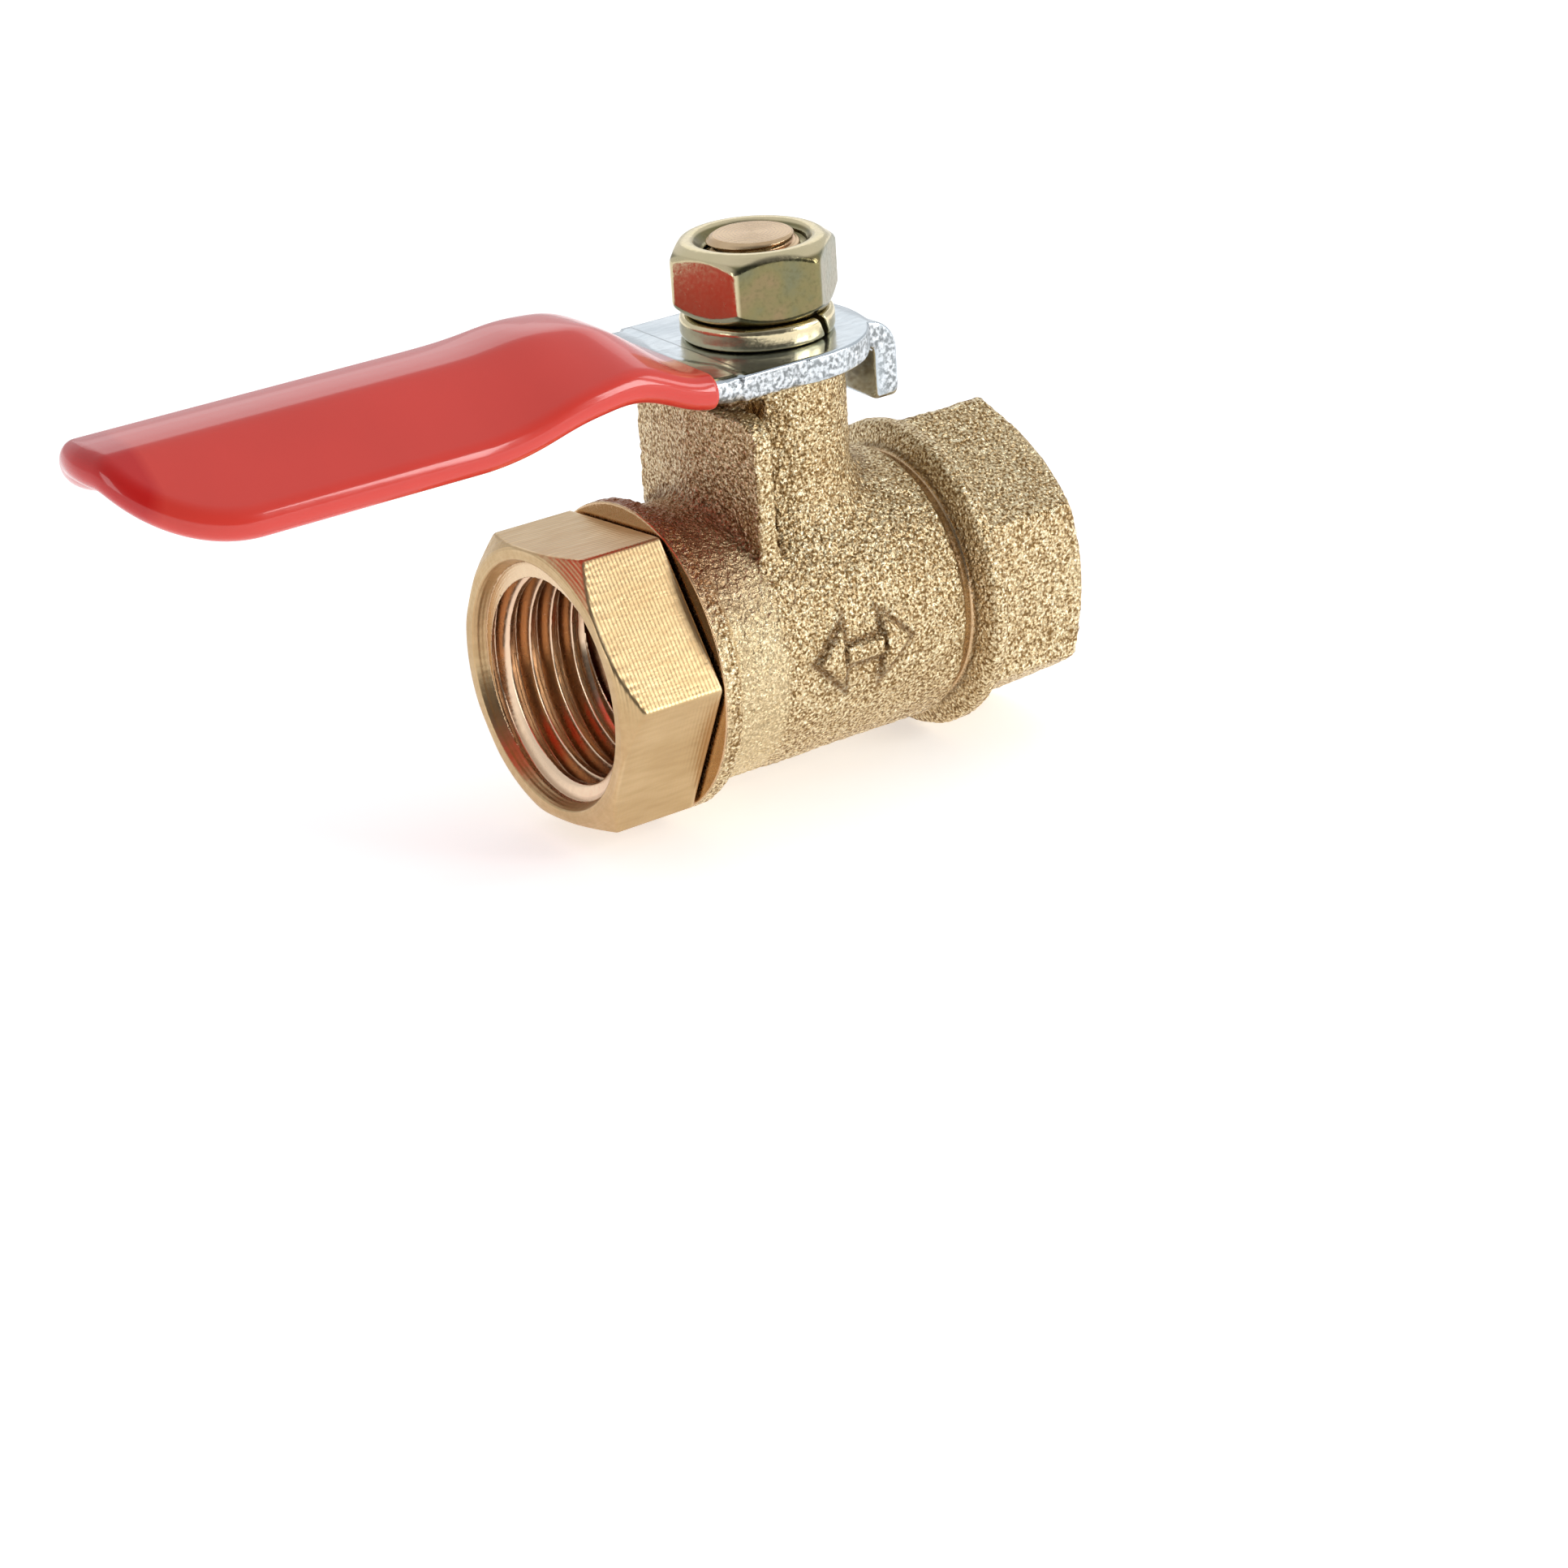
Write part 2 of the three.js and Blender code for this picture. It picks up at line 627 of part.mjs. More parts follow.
addPiece("valve_body", valveBody(), "forgedBrass");
addPiece("end_cap", endCap(), "machinedBrass");
addPiece("ball", ballSolid(), "polishedBrass");
addPiece("inlet_seat_ring", seatRing(-1), "ptfe");
addPiece("outlet_seat_ring", seatRing(1), "ptfe");
addPiece("stem", stemSolid(), "machinedBrass");
addPiece("stem_thrust_washer", thrustWasher(), "ptfe");
addPiece("stem_lower_o_ring", stemORing(ringGroove.lowerZ), "rubber");
addPiece("stem_upper_o_ring", stemORing(ringGroove.upperZ), "rubber");
addPiece("lever_plate", leverPlate(), "zincSteel");
addPiece("handle_grip", handleGrip(), "redVinyl");
addPiece("lock_washer", lockWasher(), "yellowZinc");
addPiece("lever_nut", leverNut(), "yellowZinc");

export default valve;
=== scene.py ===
"""The looks of a quarter-inch mini ball valve: forged brass body, turned end cap and a red dipped lever.

Lengths are millimetres until a mesh is made. X runs along the pipe from the end cap to the outlet, Z up the
stem, and the ball's centre is the origin. Each piece is written as a distance field, negative inside, which
keeps fillets, threads and rounded edges in one surface. A grid finds that surface, and its points are then
settled on to it exactly.
"""
import math

import bpy
import numpy as np
from mathutils import Matrix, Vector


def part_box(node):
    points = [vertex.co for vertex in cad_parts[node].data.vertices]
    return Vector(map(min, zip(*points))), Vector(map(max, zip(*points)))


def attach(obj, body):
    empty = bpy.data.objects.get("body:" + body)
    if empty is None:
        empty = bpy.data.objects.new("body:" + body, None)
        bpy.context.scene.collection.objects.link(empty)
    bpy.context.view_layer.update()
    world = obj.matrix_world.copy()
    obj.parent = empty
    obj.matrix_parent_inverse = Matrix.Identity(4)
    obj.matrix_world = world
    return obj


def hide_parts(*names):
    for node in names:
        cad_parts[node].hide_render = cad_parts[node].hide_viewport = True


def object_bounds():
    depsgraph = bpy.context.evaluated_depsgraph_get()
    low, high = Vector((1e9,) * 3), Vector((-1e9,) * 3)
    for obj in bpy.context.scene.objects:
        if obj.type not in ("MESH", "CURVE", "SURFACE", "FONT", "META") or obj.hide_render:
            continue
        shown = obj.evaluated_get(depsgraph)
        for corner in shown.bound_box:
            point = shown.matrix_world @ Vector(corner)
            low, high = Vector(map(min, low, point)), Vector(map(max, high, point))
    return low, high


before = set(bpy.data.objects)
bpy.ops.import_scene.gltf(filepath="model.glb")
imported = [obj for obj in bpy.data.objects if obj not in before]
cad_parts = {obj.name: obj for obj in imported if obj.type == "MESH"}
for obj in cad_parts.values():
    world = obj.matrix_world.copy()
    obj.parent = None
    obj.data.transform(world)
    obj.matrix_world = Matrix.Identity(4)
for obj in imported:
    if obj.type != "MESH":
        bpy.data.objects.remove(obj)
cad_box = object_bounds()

MM = 0.001
DIAGONAL = 0.707  # the slope of a 45 degree bevel


def box_mm(node):
    low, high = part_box(node)
    return np.array(low) / MM, np.array(high) / MM


# ---------------------------------------------------------------- sizes

cap_low, cap_high = box_mm("end_cap")
body_low, body_high = box_mm("valve_body")
stem_low, stem_high = box_mm("stem")
nut_low, nut_high = box_mm("lever_nut")
washer_low, washer_high = box_mm("lock_washer")
plate_low, _ = box_mm("lever_plate")
_, grip_high = box_mm("handle_grip")

# The pipe thread in each end: radii, pitch, full-thread depth and the bevelled mouth's radius.
PORT = {"minor": 5.72, "major": 6.58, "pitch": 1.337, "depth": 7.135, "mouth": 6.85}
DRILL_POINT = math.radians(59)
PASSAGE = 3.3

# The end cap: its hexagon, and the spigot and nose that screw into the body.
CAP_FACE = cap_low[0]
CAP_HEX = {"across": 15.0, "back": -9.46, "turn": -5, "face_radius": 7.5, "chamfer": math.radians(36)}
SPIGOT = {
    "radius": 6.95, "end": -5.0, "gap": 0.1,
    "nose": 5.65, "nose_end": cap_high[0],
    "pitch": 1.0, "depth": 0.35,
}

# The forged body, from the lip beside the cap to the outlet's end.
LIP = body_low[0]
OUTLET = body_high[0]
BARREL = 7.75
OUTLET_HEX = {"across": 15.33, "start": 9.2, "face_radius": 7.6, "chamfer": math.radians(30)}
SEAT_POCKET = {"radius": 5.0, "floor": 5.5}
CHAMBER = {"radius": 5.75, "inlet": -6, "outlet": 2.7, "thread_end": -4.9}
SHOULDER_POCKET = {"radius": 3.65, "ceiling": 7.0}
TOWER = {"radius": 4.5, "top": body_high[2], "bore": 3.0}
WALL = {"outlet": -3.25, "ridge": -5.1, "taper": 0.107, "half": 5.6, "top": 13.2, "corner": 1.6}
ARROW = {"half": 3.0, "head": 1.7, "shaft": 0.5, "proud": 0.35, "x": 0.2}
GRAIN = ((0.04, 0.3, 1), (0.02, 0.17, 2), (0.02, 1.7, 3))  # height, size and seed of each layer of bumps
GRAIN_SINK = 0.04

# The ball, its seats, and the stem with its tang, seals and washer.
BALL = {"radius": 5.4, "bore": 3.2, "slot": 1.0, "floor": 3.9}
SEAT = {"inner": 3.3, "outer": 4.9, "back": 5.45, "gap": 0.1}
STEM = {
    "radius": 2.95, "flat": 2.5, "flat_start": 14.5,
    "shoulder": 3.5, "shoulder_low": 5.65, "shoulder_top": 6.45,
}
TANG = {"thick": 1.7, "wide": 4.7}
STEM_THREAD = {"radius": 2.5, "pitch": 0.8, "depth": 0.42, "start": 16.0, "bevel": 0.38}
RING_GROOVES = (8.6, 11.2)
O_RING = {"middle": 2.6, "thick": 0.37, "groove": 0.5, "groove_root": 2.2}
THRUST = {"inner": 3.0, "outer": 3.5, "low": 6.5, "top": 6.95}
# The lever, its handle's channel and its stop tab.
SHEET = 1.45
HUB = {"radius": 5.9, "neck": 5.8, "flat": 2.55, "hole": 3.05, "top": 16.0}
TAB = {"inner": 5.3, "half": 3.2, "bend": 0.4, "foot": plate_low[2]}
HANDLE = {
    "start": grip_high[0], "rise": -4.8, "half": 5.15,
    "nose": -33.2, "nose_length": 5.9, "steel_tip": -37.2,
}
CHANNEL = {"flat": 1.5, "slope": 0.736, "crown": 19.18, "run_out": 14, "rise": 8.4, "bow": 1.6, "vinyl": 0.27}
HUMP = {"x": -14.8, "height": 0.3, "spread": 2.6}
# The nut and the split lock washer. turn is the angle of a corner of the nut, in degrees.
NUT = {"across": 8.05, "turn": 162.8, "chamfer_radius": 3.7, "chamfer": 0.72, "bore": 2.56, "sink": 0.68}
WASHER = {
    "inner": 2.7, "outer": 4.12, "round": 0.4,
    "split": math.radians(-65), "gap": 0.45, "lean": math.pi / 7,
}


# ---------------------------------------------------------------- distance fields


def soft_max(a, b, k):
    """The greater of two distances. The edge where their surfaces meet is rounded over about k."""
    h = np.clip(0.5 + 0.5 * (a - b) / k, 0, 1)
    return b + (a - b) * h + k * h * (1 - h)


def soft_min(a, b, k):
    """The smaller of two distances. The corner where their surfaces meet is filled over about k."""
    return -soft_max(-a, -b, k)


def between(v, low, high):
    return np.maximum(low - v, v - high)


def ramp(v, low, high):
    """0 below low and 1 above high, with a smooth step."""
    t = np.clip((v - low) / (high - low), 0, 1)
    return t * t * (3 - 2 * t)


def hexagon(u, v, across, first_flat, k):
    """Distance to a hexagon bar whose first flat faces that angle, in degrees."""
    sides = []
    for turn in (0, 60, 120):
        angle = math.radians(first_flat + turn)
        sides.append(np.abs(u * math.cos(angle) + v * math.sin(angle)) - across / 2)
    return soft_max(soft_max(sides[0], sides[1], k), sides[2], k)


def stepped_bar(along, radius, steps):
    """A bar of (radius, from, to) lengths."""
    made = None
    for size, low, high in steps:
        part = np.maximum(radius - size, between(along, low, high))
        made = part if made is None else np.minimum(made, part)
    return made


def smooth_outline(points, blur):
    """A turned outline's radius as a function of place along the axis, with its corners rounded by blur."""
    along = np.arange(points[0][0] - 2, points[-1][0] + 2, 0.02)
    radius = np.interp(along, *np.array(points, float).T)
    window = np.exp(-0.5 * (np.arange(-60, 61) * 0.02 / blur) ** 2)
    radius = np.convolve(np.pad(radius, 60, mode="edge"), window / window.sum(), mode="valid")
    return lambda v: np.interp(v, along, radius)


def helix(along, angle, pitch):
    """0 at a thread's inner radius and 1 at its outer radius, for a right-hand thread with rounded flanks."""
    turn = along / pitch - angle / (2 * math.pi)
    ridge = np.abs(2 * (turn - np.floor(turn)) - 1)
    return ramp(ridge, 0.17, 0.83)


def port(depth, radius, angle):
    """The threaded hole that a pipe screws into, by its depth from the mouth."""
    runout = np.clip((PORT["depth"] - depth) / PORT["pitch"], 0, 1)
    cut = PORT["minor"] + (PORT["major"] - PORT["minor"]) * runout * helix(depth + 0.25, angle, PORT["pitch"])
    threaded = np.maximum((radius - cut) * 0.75, between(depth, -1, PORT["depth"]))
    mouth = np.maximum(radius + 0.35 * depth - PORT["mouth"], between(depth, -1, 0.75))
    cone = (radius - PORT["minor"]) * math.cos(DRILL_POINT) + (depth - PORT["depth"]) * math.sin(DRILL_POINT)
    drilled = np.maximum(cone, between(depth, PORT["depth"] - 0.5, PORT["depth"] + 2))
    return np.minimum(np.minimum(threaded, mouth), drilled)


def lattice(i, j, k, seed):
    """A number from -1 to 1 that depends only on the lattice point. The large numbers mix a hash's bits."""
    h = (i * 374761393 + j * 668265263 + k * 1442695041 + seed * 974634777) & 0xFFFFFFFF
    h = ((h ^ (h >> 13)) * 1274126177) & 0xFFFFFFFF
    return ((h ^ (h >> 16)) & 0xFFFF) / 32767.5 - 1


def noise(x, y, z, size, seed):
    """Smooth random bumps of about that size, from -1 to 1."""
    cells, blends = [], []
    for v in (x, y, z):
        v = v / size + 1000
        floor = np.floor(v)
        t = v - floor
        cells.append(floor.astype(np.int64))
        blends.append(t * t * t * (t * (6 * t - 15) + 10))
    total = 0
    for a in (0, 1):
        for b in (0, 1):
            for c in (0, 1):
                weight = 1
                for blend, side in zip(blends, (a, b, c)):
                    weight = weight * (blend if side else 1 - blend)
                total = total + weight * lattice(cells[0] + a, cells[1] + b, cells[2] + c, seed)
    return total


# ---------------------------------------------------------------- the brass body

barrel_radius = smooth_outline(
    [
        (LIP, 8.55), (LIP + 1.1, 8.55), (LIP + 1.3, 8.2), (LIP + 1.55, BARREL), (7.1, BARREL),
        (7.35, 7.2), (8.05, 7.15), (8.2, 8.2), (8.45, 8.72), (9.25, 8.72), (9.55, 8.3), (9.9, 7.6), (11, 7.6),
    ],
    0.09,
)


def arrow_outline(x, z):
    """Distance to the outline of the cast two-way flow arrow, seen square on."""
    u = np.abs(x - ARROW["x"])
    v = np.abs(z)
    neck = ARROW["half"] - ARROW["head"]
    head = np.maximum((u + v - ARROW["half"]) * DIAGONAL, neck - u)
    shaft = np.maximum(v - ARROW["shaft"], u - neck)
    return np.minimum(head, shaft)


def arrow_relief(x, y, z):
    """How far the arrow stands out of the barrel's near side."""
    return ARROW["proud"] * (1 - ramp(arrow_outline(x, z), -0.2, 0.16)) * (y < 0)


def arrow_foot_shade(x, y, z):
    """Painted shade: a brown band just outside the arrow's edges, at the foot of its relief, on the barrel's
    near side.
    """
    return np.exp(-(((arrow_outline(x, z) - 0.2) / 0.17) ** 2)) * ramp(-y, 5, 6) * (np.abs(z) < 3)


def forged_skin(x, y, z):
    """1 on the forging's own skin, and 0 where it was machined."""
    radius = np.hypot(y, z)
    off_axis = np.hypot(x, y)
    inside = np.maximum(1 - ramp(radius, 7.15, 7.35), (1 - ramp(off_axis, 3.1, 3.3)) * ramp(z, 6, 7))
    outlet_end = ramp(x, OUTLET - 0.12, OUTLET - 0.04)
    tower_end = ramp(z, TOWER["top"] - 0.12, TOWER["top"] - 0.04)
    lip_end = 1 - ramp(x, LIP + 0.05, LIP + 0.15)
    return (1 - inside) * (1 - np.maximum(outlet_end, tower_end)) * (1 - lip_end)


def valve_body(x, y, z):
    radius = np.hypot(y, z)
    angle = np.arctan2(z, y)
    off_axis = np.hypot(x, y)
    turned = (radius - barrel_radius(x) - arrow_relief(x, y, z)) * 0.9
    made = soft_max(turned, between(x, LIP, 9.9), 0.12)
    tilt = OUTLET_HEX["chamfer"]
    chamfer = (radius - OUTLET_HEX["face_radius"]) * math.sin(tilt) + (x - OUTLET) * math.cos(tilt)
    flats = soft_max(hexagon(y, z, OUTLET_HEX["across"], 0, 0.3), chamfer, 0.2)
    flats = soft_max(flats, between(x, OUTLET_HEX["start"], OUTLET), 0.15)
    made = soft_min(made, flats, 0.2)
    tower = soft_max(off_axis - TOWER["radius"], between(z, 0, TOWER["top"]), 0.25)
    made = soft_min(made, tower, 1.7)
    ridge = WALL["ridge"] + WALL["taper"] * np.abs(y)
    across = np.abs(y) - WALL["half"] + WALL["corner"]
    up = z - WALL["top"] + WALL["corner"]
    front = np.hypot(np.maximum(across, 0), np.maximum(up, 0)) + np.minimum(np.maximum(across, up), 0)
    wall = soft_max(between(x, ridge, WALL["outlet"]), front - WALL["corner"], 0.25)
    made = soft_min(made, np.maximum(wall, 3 - z), 0.4)
    hollow = stepped_bar(
        x,
        radius,
        [
            (SPIGOT["radius"] + SPIGOT["gap"], LIP - 1, CHAMBER["thread_end"]),
            (CHAMBER["radius"], CHAMBER["inlet"], CHAMBER["outlet"]),
            (SEAT_POCKET["radius"], 0, SEAT_POCKET["floor"]),
            (PASSAGE, 0, OUTLET),
        ],
    )
    hollow = np.minimum(hollow, port(OUTLET - x, radius, -angle))
    shoulder_room = (SHOULDER_POCKET["radius"], 0, SHOULDER_POCKET["ceiling"])
    stem_hole = (TOWER["bore"], 0, TOWER["top"] + 1)
    hollow = np.minimum(hollow, stepped_bar(z, off_axis, [shoulder_room, stem_hole]))
    return soft_max(made, -hollow, 0.12)


def blasted(x, y, z):
    """The fine pebbly grain that shot blasting leaves on the forging."""
    grain = sum(height * noise(x, y, z, size, seed) for height, size, seed in GRAIN)
    return (grain - GRAIN_SINK) * forged_skin(x, y, z)


# ---------------------------------------------------------------- end cap


def end_cap(x, y, z):
    radius = np.hypot(y, z)
    angle = np.arctan2(z, y)
    flats = hexagon(y, z, CAP_HEX["across"], CAP_HEX["turn"] + 30, 0.16)
    tilt = CAP_HEX["chamfer"]
    chamfer = (radius - CAP_HEX["face_radius"]) * math.sin(tilt) - (x - CAP_FACE) * math.cos(tilt)
    made = soft_max(soft_max(flats, chamfer, 0.12), between(x, CAP_FACE, CAP_HEX["back"]), 0.12)
    screw = SPIGOT["radius"] - SPIGOT["depth"] * (1 - helix(x, angle, SPIGOT["pitch"]))
    spigot = np.maximum(radius - screw, between(x, CAP_HEX["back"] - 1, SPIGOT["end"]))
    nose = np.maximum(radius - SPIGOT["nose"], between(x, SPIGOT["end"] - 1, SPIGOT["nose_end"]))
    made = np.minimum(made, np.minimum(spigot, nose))
    hollow = stepped_bar(
        x, radius, [(PASSAGE, CAP_FACE, 0), (SEAT_POCKET["radius"], -SEAT_POCKET["floor"], 0)]
    )
    hollow = np.minimum(hollow, port(x - CAP_FACE, radius, angle))
    return soft_max(made, -hollow, 0.1)


def cap_bore(x, y, z):
    """1 in the cap's threaded bore, past the mouth's bevel, and 0 outside."""
    radius = np.hypot(y, z)
    return ramp(x, CAP_FACE + 0.6, CAP_FACE + 0.9) * (1 - ramp(radius, 6.7, 6.9))


# ---------------------------------------------------------------- ball, seats, stem and seals


def ball(x, y, z):
    made = np.sqrt(x * x + y * y + z * z) - BALL["radius"]
    made = soft_max(made, BALL["bore"] - np.hypot(y, z), 0.3)
    slot = np.maximum(np.abs(x) - BALL["slot"], BALL["floor"] - z)
    return soft_max(made, -slot, 0.15)


def seat_ring(side):
    def made(x, y, z):
        radius = np.hypot(y, z)
        along = side * x
        ring = soft_max(between(radius, SEAT["inner"], SEAT["outer"]), along - SEAT["back"], 0.1)
        return np.maximum(ring, BALL["radius"] + SEAT["gap"] - np.sqrt(x * x + radius * radius))

    return made


def stem(x, y, z):
    radius = np.hypot(x, y)
    angle = np.arctan2(y, x)
    start, end = STEM_THREAD["start"], stem_high[2]
    shaft = soft_max(radius - STEM["radius"], between(z, 6, start), 0.1)
    shaft = soft_max(shaft, np.minimum(np.abs(y) - STEM["flat"], STEM["flat_start"] - z), 0.08)
    groove = np.minimum(np.abs(z - RING_GROOVES[0]), np.abs(z - RING_GROOVES[1])) - O_RING["groove"]
    shaft = np.maximum(shaft, -np.maximum(groove, O_RING["groove_root"] - radius))
    shoulder = np.maximum(radius - STEM["shoulder"], between(z, STEM["shoulder_low"], STEM["shoulder_top"]))
    tang = np.maximum(np.abs(x) - TANG["thick"] / 2, np.abs(y) - TANG["wide"] / 2)
    tang = np.maximum(tang, between(z, stem_low[2], 6))
    cut = STEM_THREAD["depth"] * (1 - helix(z, angle, STEM_THREAD["pitch"]))
    screw = (radius - STEM_THREAD["radius"] + cut) * 0.75
    bevel = (radius + z - end - STEM_THREAD["radius"] + STEM_THREAD["bevel"]) * DIAGONAL
    screw = soft_max(soft_max(screw, between(z, start - 0.5, end), 0.08), bevel, 0.08)
    return np.minimum(np.minimum(shaft, screw), np.minimum(shoulder, tang))


def stem_ring(height):
    return lambda x, y, z: np.hypot(np.hypot(x, y) - O_RING["middle"], z - height) - O_RING["thick"]


def thrust_washer(x, y, z):
    disc = between(np.hypot(x, y), THRUST["inner"], THRUST["outer"])
    return soft_max(disc, between(z, THRUST["low"], THRUST["top"]), 0.08)


# ---------------------------------------------------------------- lever and grip


def bent_sheet(x, y, z, thick):
    """Distance to the handle's channel: its middle surface, thickened by thick with round lips."""
    lift = np.clip((HANDLE["rise"] - x) / CHANNEL["rise"], 0, 1)
    lift = lift**3 * (lift * (6 * lift - 15) + 10)
    low = HUB["top"] - SHEET / 2
    crown = low + (CHANNEL["crown"] - SHEET / 2 - low) * lift
    crown = crown + HUMP["height"] * np.exp(-(((x - HUMP["x"]) / HUMP["spread"]) ** 2))
    deep = 1 - (1 - np.clip((HANDLE["start"] - x) / CHANNEL["run_out"], 0, 1)) ** CHANNEL["bow"]
    past = np.abs(y) - CHANNEL["flat"]
    root = np.sqrt(past * past + 0.25)
    drop = CHANNEL["slope"] * deep * (root + past) / 2
    fall = CHANNEL["slope"] * deep * (past / root + 1) / 2
    level = 1 / np.sqrt(1 + fall * fall)
    height = z - crown + drop
    side = np.abs(y) - height * fall * level * level
    into_nose = np.maximum(HANDLE["nose"] - x, 0)
    long, wide = HANDLE["nose_length"], HANDLE["half"]
    reach = np.sqrt((into_nose / long) ** 2 + (side / wide) ** 2) + 1e-9
    slant = np.sqrt((into_nose / long**2) ** 2 + (side / wide**2) ** 2) + 1e-9
    past_edge = np.where(into_nose > 0, reach * (reach - 1) / slant, side - wide)
    past_edge = np.maximum(past_edge, 0)
    return np.sqrt((height * level) ** 2 + past_edge**2) - thick


def steel_core(x, y, z, thick, tip):
    """The part of the channel that is steel, as far as tip."""
    return np.maximum(bent_sheet(x, y, z, thick), between(x, tip, HANDLE["rise"] + 0.2))


def lever_plate(x, y, z):
    middle = HUB["top"] - SHEET / 2
    flat = np.abs(z - middle) - SHEET / 2
    neck = np.maximum(np.abs(y) - HUB["neck"], between(x, HANDLE["rise"] - 0.2, 0))
    outline = np.minimum(np.hypot(x, y) - HUB["radius"], neck)
    made = soft_max(flat, outline, 0.3)
    bend = TAB["inner"] - TAB["bend"]
    bend_z = HUB["top"] - SHEET - TAB["bend"]
    mid = TAB["bend"] + SHEET / 2
    curl = np.hypot(np.maximum(x - bend, 0), np.maximum(z - bend_z, 0)) - mid
    curl = np.where(z < bend_z, x - bend - mid, curl)
    tab = np.maximum(np.abs(curl) - SHEET / 2, bend - 0.6 - x)
    ends = soft_max(np.abs(y) - TAB["half"], TAB["foot"] - z, 0.7)
    made = soft_min(made, soft_max(tab, ends, 0.3), 0.15)
    made = soft_min(made, steel_core(x, y, z, SHEET / 2, HANDLE["steel_tip"]), 0.2)
    hole = np.maximum(np.hypot(x, y) - HUB["hole"], np.abs(y) - HUB["flat"])
    return soft_max(made, -hole, 0.15)


def sheared(x, y, z):
    """1 on the plate's punched edges, and 0 on its faces."""
    on_rim = ramp(np.hypot(x, y), HUB["radius"] - 0.12, HUB["radius"] - 0.02) * (x < 5.1)
    on_tab = ramp(np.abs(y), TAB["half"] - 0.12, TAB["half"] - 0.02) * (x > 4.9)
    below = 1 - ramp(z, HUB["top"] - 0.22, HUB["top"] - 0.1)
    return np.maximum(on_rim * below, on_tab)


def shear_marks(x, y, z):
    """Vertical tearing marks left by the punch."""
    around = np.arctan2(y, x) * HUB["radius"]
    marks = 0.03 * noise(around, z * 0.12, z * 0, 0.2, 11) + 0.03 * noise(around, z * 0.3, z * 0, 0.5, 12)
    return (marks - 0.04) * sheared(x, y, z)


def handle_grip(x, y, z):
    skin = bent_sheet(x, y, z, SHEET / 2 + CHANNEL["vinyl"])
    made = soft_max(skin, x - HANDLE["start"], 0.3)
    return soft_max(made, -steel_core(x, y, z, SHEET / 2 + 0.03, HANDLE["steel_tip"] - 0.05), 0.06)


# ---------------------------------------------------------------- nut and lock washer


def lever_nut(x, y, z):
    radius = np.hypot(x, y)
    angle = np.arctan2(y, x)
    corner = NUT["across"] / math.sqrt(3)
    run = corner - NUT["chamfer_radius"]
    tilt = math.atan2(NUT["chamfer"], run)
    below_end = np.minimum(nut_high[2] - z, z - nut_low[2])
    chamfer = (radius - NUT["chamfer_radius"]) * math.sin(tilt) - below_end * math.cos(tilt)
    made = soft_max(hexagon(x, y, NUT["across"], NUT["turn"] + 30, 0.3), chamfer, 0.22)
    made = soft_max(made, -below_end, 0.12)
    thread = 0.35 * helix(z, angle, STEM_THREAD["pitch"])
    sink = (radius - NUT["bore"] - NUT["sink"] + below_end) * DIAGONAL
    hole = np.minimum((radius - NUT["bore"] - thread) * 0.8, np.maximum(sink, -below_end - 1))
    return soft_max(made, -hole, 0.1)


def nut_top(x, y, z):
    """How much the nut is painted lighter: 1 on its top end face and chamfer, a painted highlight, and 0.8 on
    the one flat that faces along first_flat.
    """
    rise = nut_high[2] - 0.35 - 0.25 * (np.hypot(x, y) - NUT["chamfer_radius"])
    first_flat = math.radians(NUT["turn"] + 30)
    toward_flat = x * math.cos(first_flat) + y * math.sin(first_flat)
    one_flat = ramp(toward_flat, NUT["across"] / 2 - 0.25, NUT["across"] / 2 - 0.1)
    return np.maximum(ramp(z, rise, rise + 0.12), 0.8 * one_flat)


def all_bright(x, y, z):
    return 0 * x + 1


def lock_washer(x, y, z):
    ring = between(np.hypot(x, y), WASHER["inner"], WASHER["outer"])
    made = soft_max(ring, between(z, washer_low[2], washer_high[2]), WASHER["round"])
    out = x * math.cos(WASHER["split"]) + y * math.sin(WASHER["split"])
    along = y * math.cos(WASHER["split"]) - x * math.sin(WASHER["split"])
    middle = (washer_low[2] + washer_high[2]) / 2
    leaning = along * math.cos(WASHER["lean"]) + (z - middle) * math.sin(WASHER["lean"])
    return soft_max(made, -np.maximum(np.abs(leaning) - WASHER["gap"] / 2, -out), 0.1)


# ---------------------------------------------------------------- from field to mesh


